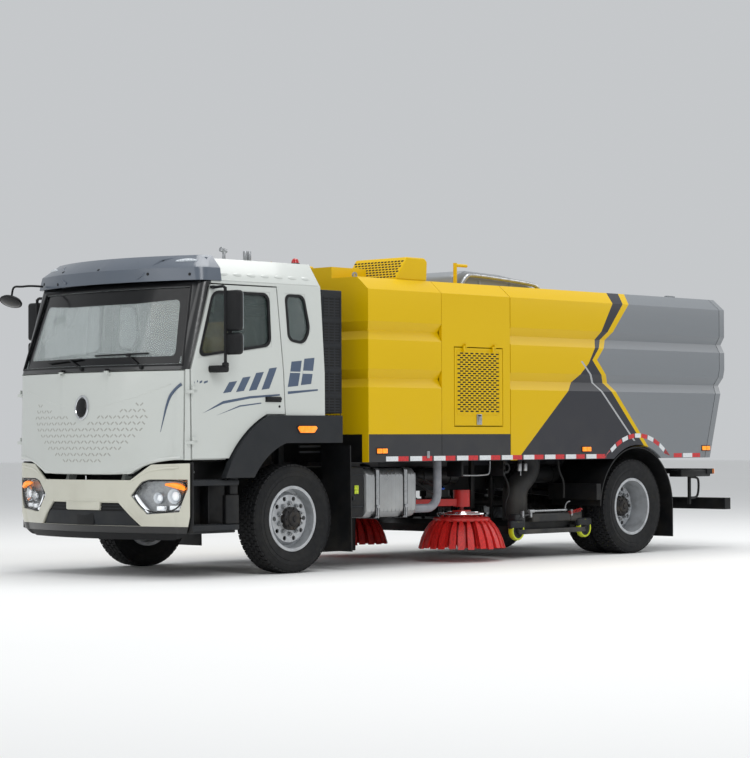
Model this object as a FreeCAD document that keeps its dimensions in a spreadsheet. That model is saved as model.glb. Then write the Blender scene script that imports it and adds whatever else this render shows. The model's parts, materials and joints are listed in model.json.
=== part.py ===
import FreeCAD, Part
import math
import os
from types import SimpleNamespace

import Sketcher

# A two-axle street sweeper truck. X points forward, Y to the truck's left, Z up.
# The origin is under the middle of the truck, on the ground. All sizes are in mm,
# angles in degrees. Places named ..._x are measured from the front axle.

doc = FreeCAD.newDocument("StreetSweeper")
sheet = doc.addObject("Spreadsheet::Sheet", "sheet")

SIZES = (
    # name, value, what it is
    ("overall_length", 8540, "front panel to the end of the rear bar"),
    ("front_overhang", 1610, "front panel to front axle"),
    ("wheelbase", 5050, "front axle to rear axle"),
    ("running_gap", 0.3, "gap between a moving face and its seat"),
    ("joint_gap", 10, "gap between panels that move apart"),
    # wheels
    ("tyre_radius", 506, "ground to axle centre"),
    ("tyre_width", 276, "section width of a tyre"),
    ("bead_radius", 290, "inside of the tyre, where it grips the rim"),
    ("rim_lip_radius", 304, "edge of the rim"),
    ("rim_width", 222, "outside width of the rim"),
    ("rim_wall", 14, "thickness of the rim and disc"),
    ("bead_gap", 0.5, "gap between a tyre and its rim"),
    ("front_wheel_y", 1010, "middle of a front tyre"),
    ("rear_outer_y", 1079, "middle of an outer rear tyre"),
    ("twin_spacing", 311, "middle to middle of the twin tyres"),
    ("hand_hole_radius", 22, "hand holes of the wheel disc"),
    ("hand_hole_circle", 190, "radius of the circle of hand holes"),
    ("hand_hole_count", 10, "hand holes of the wheel disc"),
    ("hub_radius", 105, "hub drum that the disc is bolted to"),
    ("spindle_radius", 40, "spindle inside the front hub"),
    # chassis
    ("rail_top", 960, "top of the frame rails"),
    ("rail_depth", 250, "depth of a rail"),
    ("rail_flange", 80, "width of a rail"),
    ("rail_wall", 8, "thickness of a rail"),
    ("rail_outer_y", 425, "outer face of a rail"),
    ("rail_front_x", 1180, "front end of the rails"),
    ("rail_tail", 610, "rear end of the rails to the end of the rear bar"),
    ("spring_width", 80, "leaf spring"),
    ("tow_eye_radius", 20, "hole of the rear tow eye"),
    ("kingpin_y", 800, "king pin axis"),
    ("kingpin_radius", 22, "king pin"),
    # cab
    ("cab_rear_x", -300, "rear wall"),
    ("cab_wall", 50, "wall, door and roof thickness"),
    ("cab_floor", 1060, "underside of the footwell"),
    ("cab_waist", 1860, "lower edge of the windscreen panel"),
    ("cab_header", 2660, "top of the doors and windscreen"),
    ("cab_roof", 2880, "top of the roof"),
    ("cab_half_width", 1250, "outer face of a door, at the rear wall"),
    ("cab_taper", 28, "how far each side draws in for each metre forward"),
    ("arch_radius", 1045, "cut-out of the cab around the front wheel"),
    ("arch_top", 1460, "flat top of the cab cut-out"),
    ("arch_inner_radius", 730, "inner edge of the wheel arch trim"),
    ("hood_gap", 12, "gap around the front panel and doors"),
    ("hood_thickness", 36, "front panel"),
    ("hood_half_width", 1140, "front panel"),
    ("hood_bottom", 935, "lower edge of the front panel, in the middle"),
    ("hood_bottom_side", 1065, "lower edge of the front panel, at its sides"),
    ("glass_thickness", 6, "window glass"),
    ("glass_inset", 14, "depth of the glass behind the outer face"),
    ("tilt_x", 1420, "cab tilt axis"),
    ("tilt_z", 800, "cab tilt axis"),
    # bumper
    ("bumper_bottom", 405, "lower edge"),
    ("bumper_top", 880, "upper edge in the middle"),
    ("bumper_top_side", 1035, "upper edge at the sides"),
    ("bumper_wall", 20, "bumper skin"),
    ("bumper_rear_x", 1335, "rear edge of the bumper's sides"),
    # sweeper body
    ("body_front_x", -860, "front bulkhead of the body"),
    ("first_split_x", -1900, "joint behind the power pack housing"),
    ("second_split_x", -2940, "joint between the fan housing and the hopper"),
    ("body_tail", 280, "rear face of the body to the end of the rear bar"),
    ("body_half_width", 1275, "outer face of the body"),
    ("body_bottom", 1020, "lower edge of the body"),
    ("body_shoulder", 2668, "lower edge of the roof chamfer"),
    ("body_roof", 2790, "roof of the body"),
    ("roof_edge_y", 1130, "upper edge of the roof chamfer"),
    ("body_wall", 40, "wall of the body"),
    ("groove_depth", 50, "depth of the long grooves"),
    ("groove_height", 176, "height of a groove"),
    ("upper_groove_top", 2364, "upper edge of the upper groove"),
    ("lower_groove_top", 1908, "upper edge of the lower groove"),
    ("tail_slope", 290, "how far the rear face slants forward at the bottom"),
    ("tail_bend", 2000, "height where the rear face starts to slant"),
    ("tailgate_thickness", 90, "tailgate"),
    ("tip_tail", 710, "the hopper's pivot to the end of the rear bar"),
    ("tip_z", 905, "height of the hopper's pivot"),
    ("tip_pin_radius", 25, "pivot shaft of the hopper"),
    # sweeping gear
    ("brush_x", -2700, "side brush axis"),
    ("brush_y", 820, "side brush axis"),
    ("brush_radius", 455, "spread of the bristles"),
    ("brush_bottom", 125, "tips of the bristles"),
    ("brush_top", 520, "top of the brush plate"),
    ("arm_pivot_x", -1950, "vertical pin of the brush arm"),
    ("arm_pivot_reach", 95, "vertical pin of the brush arm, out from the rail"),
    ("arm_pin_radius", 25, "vertical pin of the brush arm"),
    ("nozzle_front_x", -3330, "front of the suction nozzle"),
    ("nozzle_rear_x", -4240, "rear of the suction nozzle"),
    ("nozzle_half_width", 1030, "suction nozzle"),
    ("nozzle_bottom", 255, "underside of the suction nozzle, lifted"),
    ("nozzle_top", 385, "upper face of the suction nozzle"),
    ("caster_radius", 100, "small wheels of the nozzle"),
    ("caster_y", 1100, "small wheels of the nozzle"),
    ("duct_radius", 130, "outside of the suction duct"),
    ("duct_wall", 12, "wall of the suction duct"),
    ("duct_x", -3560, "lower end of the suction duct"),
    ("duct_y", 800, "suction duct"),
    ("duct_bend", 50, "angle of the duct's two bends"),
    ("duct_bend_radius", 190, "radius of the duct's two bends"),
    ("duct_slant", 100, "straight run between the duct's bends"),
)


class Size:
    """A length that carries its value and the sheet formula that it comes from."""

    def __init__(self, value, formula):
        self.value = float(value)
        self.formula = formula

    def __float__(self):
        return self.value

    def __neg__(self):
        return Size(-self.value, f"(0 - {self.formula})")

    def __add__(self, other):
        return Size(self.value + float(other), f"({self.formula} + {text(other)})")

    def __radd__(self, other):
        return self + other

    def __sub__(self, other):
        return Size(self.value - float(other), f"({self.formula} - {text(other)})")

    def __rsub__(self, other):
        return Size(float(other) - self.value, f"({text(other)} - {self.formula})")

    def __mul__(self, other):
        return Size(self.value * float(other), f"({self.formula} * {text(other)})")

    def __rmul__(self, other):
        return self * other

    def __truediv__(self, other):
        return Size(self.value / float(other), f"({self.formula} / {text(other)})")


def text(amount):
    """The formula of a size, or a plain number in brackets."""
    if isinstance(amount, Size):
        return amount.formula
    return f"({float(amount)})"


for row, (alias, value, meaning) in enumerate(SIZES, start=1):
    sheet.set(f"A{row}", alias)
    sheet.set(f"B{row}", str(value))
    sheet.set(f"C{row}", meaning)
    sheet.setAlias(f"B{row}", alias)
doc.recompute()
s = SimpleNamespace(**{alias: Size(sheet.get(alias), f"sheet.{alias}") for alias, value, meaning in SIZES})

front_axle = s.overall_length / 2 - s.front_overhang
rear_axle = front_axle - s.wheelbase
rail_inner_y = s.rail_outer_y - s.rail_flange
arm_pivot_y = s.rail_outer_y + s.arm_pivot_reach
rail_bottom = s.rail_top - s.rail_depth
truck_rear = -s.overall_length / 2
rail_rear = truck_rear + s.rail_tail
body_front = front_axle + s.body_front_x
first_split = front_axle + s.first_split_x
second_split = front_axle + s.second_split_x
body_rear = truck_rear + s.body_tail
tip_x = truck_rear + s.tip_tail
cab_rear = front_axle + s.cab_rear_x
cab_front = front_axle + s.front_overhang

PARTS = []


# ---------------------------------------------------------------- shapes

def bind(thing, **amounts):
    """Set properties of an object, each bound to the sheet when it is a Size."""
    for name, amount in amounts.items():
        if isinstance(amount, Size):
            thing.setExpression(name, amount.formula)
        else:
            setattr(thing, name, amount)


def put(thing, x, y, z):
    """Bind the place of an object."""
    for axis, amount in zip("xyz", (x, y, z)):
        if isinstance(amount, Size):
            thing.setExpression(f"Placement.Base.{axis}", amount.formula)
        else:
            base = thing.Placement.Base
            setattr(base, axis, float(amount))
            thing.Placement = FreeCAD.Placement(base, thing.Placement.Rotation)


def block(name, x, y, z):
    """A box; x, y and z are pairs of its low and high faces."""
    box = doc.addObject("Part::Box", name)
    bind(box, Length=x[1] - x[0], Width=y[1] - y[0], Height=z[1] - z[0])
    put(box, x[0], y[0], z[0])
    return box


TURNS = {
    "x": FreeCAD.Rotation(FreeCAD.Vector(0, 1, 0), 90),
    "y": FreeCAD.Rotation(FreeCAD.Vector(1, 0, 0), -90),
    "z": FreeCAD.Rotation(),
}


def rod(name, axis, start, radius, length):
    """A round bar from its start point along x, y or z."""
    bar = doc.addObject("Part::Cylinder", name)
    bind(bar, Radius=radius, Height=length)
    bar.Placement = FreeCAD.Placement(FreeCAD.Vector(0, 0, 0), TURNS[axis])
    put(bar, *start)
    return bar


def joined(name, *pieces):
    """Pieces that touch, as one solid."""
    fuse = doc.addObject("Part::MultiFuse", name)
    fuse.Shapes = list(pieces)
    fuse.Refine = True
    return fuse


def cut(name, base, *tools):
    """A piece with one or more others taken out of it."""
    tool = tools[0] if len(tools) == 1 else joined(f"{name}_tools", *tools)
    result = doc.addObject("Part::Cut", name)
    result.Base = base
    result.Tool = tool
    return result


def common(name, *pieces):
    """What pieces share."""
    result = doc.addObject("Part::MultiCommon", name)
    result.Shapes = list(pieces)
    return result


def together(name, *pieces):
    """Like pieces on one body that don't touch."""
    group = doc.addObject("Part::Compound", name)
    group.Links = list(pieces)
    return group


def mirrored(name, piece):
    """The same piece on the other side of the truck."""
    twin = doc.addObject("Part::Mirroring", name)
    twin.Source = piece
    twin.Base = FreeCAD.Vector(0, 0, 0)
    twin.Normal = FreeCAD.Vector(0, 1, 0)
    return twin


PLANES = {"XY": "XY_Plane", "XZ": "XZ_Plane", "YZ": "YZ_Plane"}


def sketched(name, plane, points, offset=0):
    """A body with a closed outline; each corner is bound to the sheet."""
    body = doc.addObject("PartDesign::Body", name)
    sketch = body.newObject("Sketcher::SketchObject", f"{name}_outline")
    origin = {feature.Role: feature for feature in body.Origin.OriginFeatures}
    sketch.AttachmentSupport = [(origin[PLANES[plane]], "")]
    sketch.MapMode = "FlatFace"
    if isinstance(offset, Size):
        sketch.setExpression("AttachmentOffset.Base.z", offset.formula)
    else:
        sketch.AttachmentOffset = FreeCAD.Placement(FreeCAD.Vector(0, 0, offset), FreeCAD.Rotation())
    places = [FreeCAD.Vector(float(across), float(up), 0) for across, up in points]
    count = len(points)
    for index in range(count):
        sketch.addGeometry(Part.LineSegment(places[index], places[(index + 1) % count]), False)
    for index in range(count):
        sketch.addConstraint(Sketcher.Constraint("Coincident", index, 2, (index + 1) % count, 1))
    for index, (across, up) in enumerate(points):
        for kind, line, amount in (("DistanceX", -2, across), ("DistanceY", -1, up)):
            if float(amount) == 0:
                sketch.addConstraint(Sketcher.Constraint("PointOnObject", index, 1, line))
                continue
            rule = sketch.addConstraint(Sketcher.Constraint(kind, -1, 1, index, 1, float(amount)))
            if isinstance(amount, Size):
                sketch.setExpression(f"Constraints[{rule}]", amount.formula)
    return body, sketch


def prism(name, plane, points, low, high):
    """An outline in XY, XZ or YZ drawn out between two places on the third axis."""
    start = -high if plane == "XZ" else low
    body, sketch = sketched(name, plane, points, start)
    pad = body.newObject("PartDesign::Pad", f"{name}_pad")
    pad.Profile = sketch
    bind(pad, Length=high - low)
    body.Tip = pad
    return body


def turned(name, axis, points, centre):
    """An outline of (along, radius) points turned about an axis along y or z."""
    if axis == "y":
        body, sketch = sketched(name, "YZ", points)
        spin = "H_Axis"
    else:
        body, sketch = sketched(name, "XZ", [(radius, along) for along, radius in points])
        spin = "V_Axis"
    turn = body.newObject("PartDesign::Revolution", f"{name}_turn")
    turn.Profile = sketch
    turn.ReferenceAxis = (sketch, [spin])
    turn.Angle = 360
    body.Tip = turn
    put(body, *centre)
    return body


def shaped(name, shape):
    """A piece whose shape comes from a function that reads the sheet."""
    feature = doc.addObject("Part::Feature", name)
    feature.Shape = shape
    feature.Placement = FreeCAD.Placement()
    return feature


def part(node, piece):
    """Name a finished sub-part; the name is also its file's."""
    piece.Label = node
    PARTS.append((node, piece))
    return piece


# ---------------------------------------------------------------- wheels

def tyre(name, centre_y, side, axle_x):
    """One tyre: flat tread, round shoulders, bead at the rim."""
    half = s.tyre_width / 2
    bead = s.rim_width / 2 - s.rim_wall - s.bead_gap
    seat = s.bead_radius + s.bead_gap
    flange = s.rim_lip_radius + s.bead_gap
    outline = (
        (-bead, seat),
        (-bead, flange),
        (-half, s.bead_radius + 95),
        (-half + 4, s.tyre_radius - 70),
        (-half + 24, s.tyre_radius - 22),
        (-half + 60, s.tyre_radius),
        (half - 60, s.tyre_radius),
        (half - 24, s.tyre_radius - 22),
        (half - 4, s.tyre_radius - 70),
        (half, s.bead_radius + 95),
        (bead, flange),
        (bead, seat),
    )
    return turned(name, "y", outline, (axle_x, side * centre_y, s.tyre_radius))


def wheel(name, centre_y, side, axle_x, dish, hub_length, bore):
    """Rim, dished disc with hand holes, and a hub; dish is how far out the disc face lies."""
    half = s.rim_width / 2
    wall = s.rim_wall
    lip = s.rim_lip_radius
    well = s.bead_radius
    rim_outline = (
        (-half, well - wall),
        (-half, lip),
        (-half + wall, lip),
        (-half + wall, well),
        (half - wall, well),
        (half - wall, lip),
        (half, lip),
        (half, well - wall),
    )
    disc_outline = (
        (side * (dish - 60), well - wall / 2),
        (side * (dish - 60), well - 40),
        (side * dish, s.hand_hole_circle + 30),
        (side * dish, bore),
        (side * (dish - wall), bore),
        (side * (dish - wall), s.hand_hole_circle + 26),
        (side * (dish - 60 - wall), well - 44),
        (side * (dish - 60 - wall), well - wall / 2),
    )
    hub_outline = (
        (side * (dish - hub_length), bore),
        (side * (dish - hub_length), s.hub_radius),
        (side * (dish + 40), s.hub_radius),
        (side * (dish + 60), s.hub_radius - 25),
        (side * (dish + 60), bore),
    )
    centre = (axle_x, side * centre_y, s.tyre_radius)
    rim = turned(f"{name}_rim", "y", rim_outline, centre)
    disc = turned(f"{name}_disc", "y", disc_outline, centre)
    hub = turned(f"{name}_hub", "y", hub_outline, centre)
    cap = rod(f"{name}_cap", "y", (axle_x, side * (centre_y + dish + 56) - 6, s.tyre_radius), bore + 6, 12)
    solid = joined(f"{name}_solid", rim, disc, hub, cap)
    holes = []
    for index in range(int(float(s.hand_hole_count))):
        angle = 2 * math.pi * index / float(s.hand_hole_count)
        x = axle_x + s.hand_hole_circle * math.cos(angle)
        z = s.tyre_radius + s.hand_hole_circle * math.sin(angle)
        start = side * (centre_y + dish) - s.tyre_width / 2
        holes.append(rod(f"{name}_hole_{index}", "y", (x, start, z), s.hand_hole_radius, s.tyre_width))
    return cut(name, solid, *holes)


def make_wheels():
    front_dish = 62
    rear_dish = -70
    for side, word in ((1, "left"), (-1, "right")):
        part(f"front_tyre_{word}", tyre(f"front_tyre_{word}", s.front_wheel_y, side, front_axle))
        bore = s.spindle_radius + s.running_gap
        front = wheel(f"front_wheel_{word}", s.front_wheel_y, side, front_axle, front_dish, 130, bore)
        part(f"front_wheel_{word}", front)
        inner_y = s.rear_outer_y - s.twin_spacing
        tyres = [
            tyre(f"rear_tyre_{word}_{place}", centre_y, side, rear_axle)
            for place, centre_y in (("outer", s.rear_outer_y), ("inner", inner_y))
        ]
        part(f"rear_tyres_{word}", together(f"rear_tyres_{word}", *tyres))
        outer = wheel(f"rear_wheel_{word}_outer", s.rear_outer_y, side, rear_axle, rear_dish, 150, bore)
        inner = turned(f"rear_wheel_{word}_inner", "y", (
            (-s.rim_width / 2, s.bead_radius - s.rim_wall),
            (-s.rim_width / 2, s.rim_lip_radius),
            (s.rim_wall - s.rim_width / 2, s.rim_lip_radius),
            (s.rim_wall - s.rim_width / 2, s.bead_radius),
            (s.rim_width / 2 - s.rim_wall, s.bead_radius),
            (s.rim_width / 2 - s.rim_wall, s.rim_lip_radius),
            (s.rim_width / 2, s.rim_lip_radius),
            (s.rim_width / 2, s.bead_radius - s.rim_wall),
        ), (rear_axle, side * inner_y, s.tyre_radius))
        spacer_start = side * (s.rear_outer_y - s.twin_spacing / 2) - (s.twin_spacing - s.rim_width) / 2
        ring = rod(f"rear_spacer_{word}", "y", (rear_axle, spacer_start, s.tyre_radius),
                   s.bead_radius, s.twin_spacing - s.rim_width)
        hollow = rod(f"rear_spacer_hollow_{word}", "y", (rear_axle, spacer_start, s.tyre_radius),
                     s.bead_radius - s.rim_wall, s.twin_spacing - s.rim_width)
        band = cut(f"rear_band_{word}", ring, hollow)
        part(f"rear_wheels_{word}", joined(f"rear_wheels_{word}", outer, inner, band))


# ---------------------------------------------------------------- chassis

first_member_x = 1060
member_length = 90


def make_chassis():
    rail = prism("rail_left", "YZ", (
        (rail_inner_y, rail_bottom),
        (s.rail_outer_y, rail_bottom),
        (s.rail_outer_y, s.rail_top),
        (rail_inner_y, s.rail_top),
        (rail_inner_y, s.rail_top - s.rail_wall),
        (s.rail_outer_y - s.rail_wall, s.rail_top - s.rail_wall),
        (s.rail_outer_y - s.rail_wall, rail_bottom + s.rail_wall),
        (rail_inner_y, rail_bottom + s.rail_wall),
    ), rail_rear, front_axle + s.rail_front_x)
    rail_face = s.rail_outer_y - s.rail_wall
    members = []
    for index, (base, along) in enumerate((
        (front_axle, first_member_x), (front_axle, -700), (front_axle, -1900), (front_axle, -3000),
        (rear_axle, 830), (rear_axle, -700), (rear_axle, -1060),
    )):
        x = base + along
        members.append(block(f"crossmember_{index}", (x, x + member_length), (-rail_face, rail_face),
                             (rail_bottom + 30, s.rail_top - 50)))
    members.append(block("rear_member", (rail_rear + 5, rail_rear + 55), (-rail_face, rail_face),
                         (rail_bottom + 20, s.tip_z - 60)))
    eye_plate = block("tow_plate", (rail_rear - 110, rail_rear + 20), (-55, 55), (rail_bottom + 58, rail_bottom + 102))
    eye_hole = rod("tow_hole", "z", (rail_rear - 60, 0, rail_bottom + 50), s.tow_eye_radius, 60)
    members.append(cut("tow_eye", eye_plate, eye_hole))
    for side in (1, -1):
        y = (rail_inner_y, s.rail_outer_y) if side > 0 else (-s.rail_outer_y, -rail_inner_y)
        members.append(block(f"cab_post_{side}", (cab_rear + 10, cab_rear + 90), y,
                             (s.rail_top - 1, s.arch_top - s.running_gap)))
    shaft = rod("tip_shaft", "y", (tip_x, -s.rail_outer_y, s.tip_z),
                s.tip_pin_radius, s.rail_outer_y * 2)
    sleeves = []
    for side in (1, -1):
        for index, along in enumerate((220, 690)):
            x = front_axle + s.nozzle_front_x - along
            y = side * (s.rail_outer_y + 60)
            tube = rod(f"guide_{side}_{index}", "z", (x, y, rail_bottom - 90), 36, 200)
            bore = rod(f"guide_bore_{side}_{index}", "z", (x, y, rail_bottom - 91), 20 + s.running_gap, 202)
            ear_y = (s.rail_outer_y - 1, s.rail_outer_y + 30) if side > 0 else (
                -s.rail_outer_y - 30, 1 - s.rail_outer_y)
            ear = block(f"guide_ear_{side}_{index}", (x - 30, x + 30), ear_y, (rail_bottom + 10, rail_bottom + 110))
            sleeves.append(cut(f"guide_sleeve_{side}_{index}", joined(f"guide_body_{side}_{index}", tube, ear), bore))
        arm_x = front_axle + s.arm_pivot_x
        arm_y = side * arm_pivot_y
        pin = rod(f"arm_pin_{side}", "z", (arm_x, arm_y, rail_bottom - 180), s.arm_pin_radius, 260)
        ear_y = (s.rail_outer_y - 1, arm_pivot_y) if side > 0 else (-arm_pivot_y, 1 - s.rail_outer_y)
        ear = block(f"arm_ear_{side}", (arm_x - 50, arm_x + 50), ear_y, (rail_bottom + 10, rail_bottom + 60))
        sleeves.append(joined(f"arm_bracket_{side}", pin, ear))
    part("chassis_frame", joined("chassis_frame", rail, mirrored("rail_right", rail), *members, shaft, *sleeves))


def make_front_axle():
    beam_low = s.tyre_radius - 110
    beam_end = s.kingpin_y - 60
    half = prism("axle_beam", "YZ", (
        (-beam_end, s.tyre_radius - 50),
        (-beam_end + 120, beam_low),
        (beam_end - 120, beam_low),
        (beam_end, s.tyre_radius - 50),
        (s.kingpin_y - 10, s.tyre_radius - 50),
        (s.kingpin_y - 10, s.tyre_radius + 50),
        (beam_end, s.tyre_radius + 50),
        (beam_end - 140, beam_low + 90),
        (-beam_end + 140, beam_low + 90),
        (-beam_end, s.tyre_radius + 50),
        (10 - s.kingpin_y, s.tyre_radius + 50),
        (10 - s.kingpin_y, s.tyre_radius - 50),
    ), front_axle - 45, front_axle + 45)
    pins = [
        rod(f"kingpin_{side}", "z", (front_axle, side * s.kingpin_y, s.tyre_radius - 110), s.kingpin_radius, 220)
        for side in (1, -1)
    ]
    eyes = [
        rod(f"axle_eye_{side}", "z", (front_axle, side * s.kingpin_y, s.tyre_radius - 50), 34, 100)
        for side in (1, -1)
    ]
    part("front_axle", joined("front_axle", half, *pins, *eyes))


def make_knuckles():
    """A fork above and below the axle's eye, and the spindle that the hub turns on."""
    gap = 3
    for side, word in ((1, "left"), (-1, "right")):
        near = s.kingpin_y - 40
        far = s.kingpin_y + 62
        y = (near, far) if side > 0 else (-far, -near)
        web_y = (s.kingpin_y + 40, far) if side > 0 else (-far, -s.kingpin_y - 40)
        upper = block(f"knuckle_upper_{word}", (front_axle - 40, front_axle + 40), y,
                      (s.tyre_radius + 50 + gap, s.tyre_radius + 105))
        lower = block(f"knuckle_lower_{word}", (front_axle - 40, front_axle + 40), y,
                      (s.tyre_radius - 105, s.tyre_radius - 50 - gap))
        web = block(f"knuckle_web_{word}", (front_axle - 40, front_axle + 40), web_y,
                    (s.tyre_radius - 105, s.tyre_radius + 105))
        start = far if side > 0 else -(s.front_wheel_y + 110)
        spindle = rod(f"spindle_{word}", "y", (front_axle, start, s.tyre_radius),
                      s.spindle_radius, s.front_wheel_y + 110 - far)
        bore = rod(f"kingpin_bore_{word}", "z", (front_axle, side * s.kingpin_y, s.tyre_radius - 120),
                   s.kingpin_radius + s.running_gap / 3, 240)
        solid = joined(f"knuckle_solid_{word}", upper, lower, web, spindle)
        part(f"knuckle_{word}", cut(f"knuckle_{word}", solid, bore))


def make_rear_axle():
    """Axle tube with its differential, stub axles and the propeller shaft."""
    reach = s.rear_outer_y - 60
    tube_half = s.rear_outer_y - s.twin_spacing - s.rim_width / 2 - 60
    tube = rod("axle_tube", "y", (rear_axle, -tube_half, s.tyre_radius), 75, tube_half * 2)
    stubs = rod("stub_axles", "y", (rear_axle, -reach, s.tyre_radius), s.spindle_radius, reach * 2)
    ball = rod("differential", "y", (rear_axle, -150, s.tyre_radius), 200, 300)
    nose = rod("pinion_nose", "x", (rear_axle, 0, s.tyre_radius + 60), 90, 330)
    shaft_start = rear_axle + 300
    shaft_end = front_axle - 480
    shaft = rod("propeller_shaft", "x", (shaft_start, 0, s.tyre_radius + 60), 50, shaft_end - shaft_start)
    part("rear_axle", joined("rear_axle", tube, stubs, ball, nose, shaft))


def make_springs():
    """Leaf packs under the rails, each seated on its axle and hung from its rail."""
    packs = []
    for end, axle, seat in (("front", front_axle, s.tyre_radius - 20), ("rear", rear_axle, s.tyre_radius + 75)):
        for side in (1, -1):
            low_y = side * (s.rail_outer_y - s.rail_flange / 2) - s.spring_width / 2
            y = (low_y, low_y + s.spring_width)
            leaves = prism(f"leaves_{end}_{side}", "XZ", (
                (axle - 800, rail_bottom - 60),
                (axle - 60, seat),
                (axle + 60, seat),
                (axle + 800, rail_bottom - 60),
                (axle + 800, rail_bottom),
                (axle + 760, rail_bottom),
                (axle + 760, rail_bottom - 30),
                (axle + 60, seat + 70),
                (axle - 60, seat + 70),
                (axle - 760, rail_bottom - 30),
                (axle - 760, rail_bottom),
                (axle - 800, rail_bottom),
            ), y[0], y[1])
            packs.append(leaves)
    part("leaf_springs", together("leaf_springs", *packs))


def make_engines():
    """The driving engine with its gearbox, and the engine of the sweeping gear, as plain blocks."""
    half = rail_inner_y - s.running_gap
    main = block("main_engine", (front_axle - 480, front_axle + 540), (-half, half), (640, s.arch_top - 90))
    deck = s.body_bottom + s.body_wall
    sweeper = block("sweeper_engine", (first_split + 120, body_front - 160), (-450, 450), (deck, deck + 900))
    part("engine", together("engine", main, sweeper))


def make_side_gear():
    """Fuel tank, boxes, steps and mudguards hung from the rails."""
    tank_x = (front_axle - 1620, front_axle - 905)
    tank = prism("fuel_tank_solid", "YZ", (
        (620, 540), (680, 487), (1140, 487), (1200, 547),
        (1200, 900), (1140, 960), (680, 960), (620, 900),
    ), tank_x[0], tank_x[1])
    part("fuel_tank", tank)
    left_box = block("left_box", (front_axle - 895, front_axle - 690), (520, 1180), (500, 980))
    right_box = block("right_box", (front_axle - 1620, front_axle - 720), (-1180, -620), (500, 950))
    part("battery_boxes", together("battery_boxes", left_box, right_box))
    brackets = []
    for index, (along, side, y_high) in enumerate((
        (-1500, 1, 620), (-1080, 1, 620), (-800, 1, 520), (-1500, -1, 620), (-900, -1, 620),
    )):
        x = front_axle + along
        y = (s.rail_outer_y, y_high) if side > 0 else (-y_high, -s.rail_outer_y)
        brackets.append(block(f"tank_bracket_{index}", (x - 25, x + 25), y, (rail_bottom + 40, rail_bottom + 160)))
    part("tank_brackets", together("tank_brackets", *brackets))


def make_steps():
    """Entry steps below the doors, one each side."""
    steps = []
    for side in (1, -1):
        outer = s.cab_half_width - 50
        y = (outer - 330, outer) if side > 0 else (-outer, 330 - outer)
        body = block(f"step_body_{side}", (front_axle + 735, front_axle + s.bumper_rear_x - 12), y, (400, 890))
        inset = (outer - 200, outer + 1) if side > 0 else (-outer - 1, 200 - outer)
        toe = block(f"step_toe_{side}", (front_axle + 800, front_axle + s.bumper_rear_x - 70), inset, (470, 660))
        upper = block(f"step_upper_{side}", (front_axle + 1030, front_axle + s.bumper_rear_x - 12), y,
                      (880, s.cab_floor - 15))
        arm_y = (s.rail_outer_y, outer - 300) if side > 0 else (300 - outer, -s.rail_outer_y)
        arm = block(f"step_arm_{side}", (front_axle + 980, front_axle + 1060), arm_y, (730, 830))
        steps.append(joined(f"step_{side}", cut(f"step_shell_{side}", body, toe), upper, arm))
    part("cab_steps", together("cab_steps", *steps))


def make_mudguards():
    guards = []
    outer = s.body_half_width - 15
    for side in (1, -1):
        y = (860, 1240) if side > 0 else (-1240, -860)
        flap = prism(f"front_flap_{side}", "XZ", (
            (front_axle - 672, 180), (front_axle - 658, 180),
            (front_axle - 640, 1180), (front_axle - 654, 1180),
        ), y[0], y[1])
        arm_y = (s.rail_outer_y, 870) if side > 0 else (-870, -s.rail_outer_y)
        arm = block(f"flap_arm_{side}", (front_axle - 668, front_axle - 640), arm_y, (820, 860))
        guards.append(joined(f"front_guard_{side}", flap, arm))
        wide = (600, outer) if side > 0 else (-outer, -600)
        ring = rod(f"fender_outer_{side}", "y", (rear_axle, wide[0], s.tyre_radius), 640, wide[1] - wide[0])
        core = rod(f"fender_inner_{side}", "y", (rear_axle, wide[0] - 1, s.tyre_radius), 625, wide[1] - wide[0] + 2)
        low = block(f"fender_low_{side}", (rear_axle - 700, rear_axle + 700),
                    (wide[0] - 2, wide[1] + 2), (-200, s.tyre_radius + 20))
        arch = cut(f"fender_arch_{side}", ring, core, low)
        tail = block(f"rear_flap_{side}", (rear_axle - 640, rear_axle - 626), wide, (165, s.tyre_radius + 40))
        front = block(f"fender_front_{side}", (rear_axle + 626, rear_axle + 700), wide, (590, rail_bottom + 50))
        stay_y = (s.rail_outer_y, 620) if side > 0 else (-620, -s.rail_outer_y)
        stay = block(f"fender_stay_{side}", (rear_axle + 635, rear_axle + 675), stay_y,
                     (rail_bottom + 5, rail_bottom + 45))
        back_stay = block(f"fender_back_stay_{side}", (rear_axle - 638, rear_axle - 628), stay_y,
                          (s.tyre_radius - 20, s.tyre_radius + 30))
        riser_y = (s.rail_outer_y, s.rail_outer_y + 12) if side > 0 else (-s.rail_outer_y - 12, -s.rail_outer_y)
        riser = block(f"fender_riser_{side}", (rear_axle - 660, rear_axle - 628), riser_y,
                      (s.tyre_radius - 20, rail_bottom + 60))
        guards.append(joined(f"rear_guard_{side}", arch, tail, front, stay, back_stay, riser))
    part("mudguards", together("mudguards", *guards))


lamp_low = 835
lamp_high = 895


def make_rear_bar():
    """Lamp beam across the rails' ends and the low bar behind it, on two drop arms."""
    beam = block("lamp_beam", (rail_rear - 230, rail_rear - 120), (-1180, 1180), (lamp_low, lamp_high))
    bar = block("low_bar", (truck_rear, truck_rear + 110), (-1150, 1150), (430, 560))
    drops = []
    for side in (1, -1):
        y = (330, 420) if side > 0 else (-420, -330)
        drops.append(prism(f"drop_arm_{side}", "XZ", (
            (truck_rear + 100, 450), (truck_rear + 100, 540), (rail_rear - 230, 800),
            (rail_rear - 230, lamp_low + 10), (rail_rear - 120, lamp_low + 10),
            (rail_rear - 60, lamp_low), (rail_rear, lamp_low), (rail_rear, rail_bottom + 10),
        ), y[0], y[1]))
    part("rear_underrun", joined("rear_underrun", beam, bar, *drops))


# ---------------------------------------------------------------- cab

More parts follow.
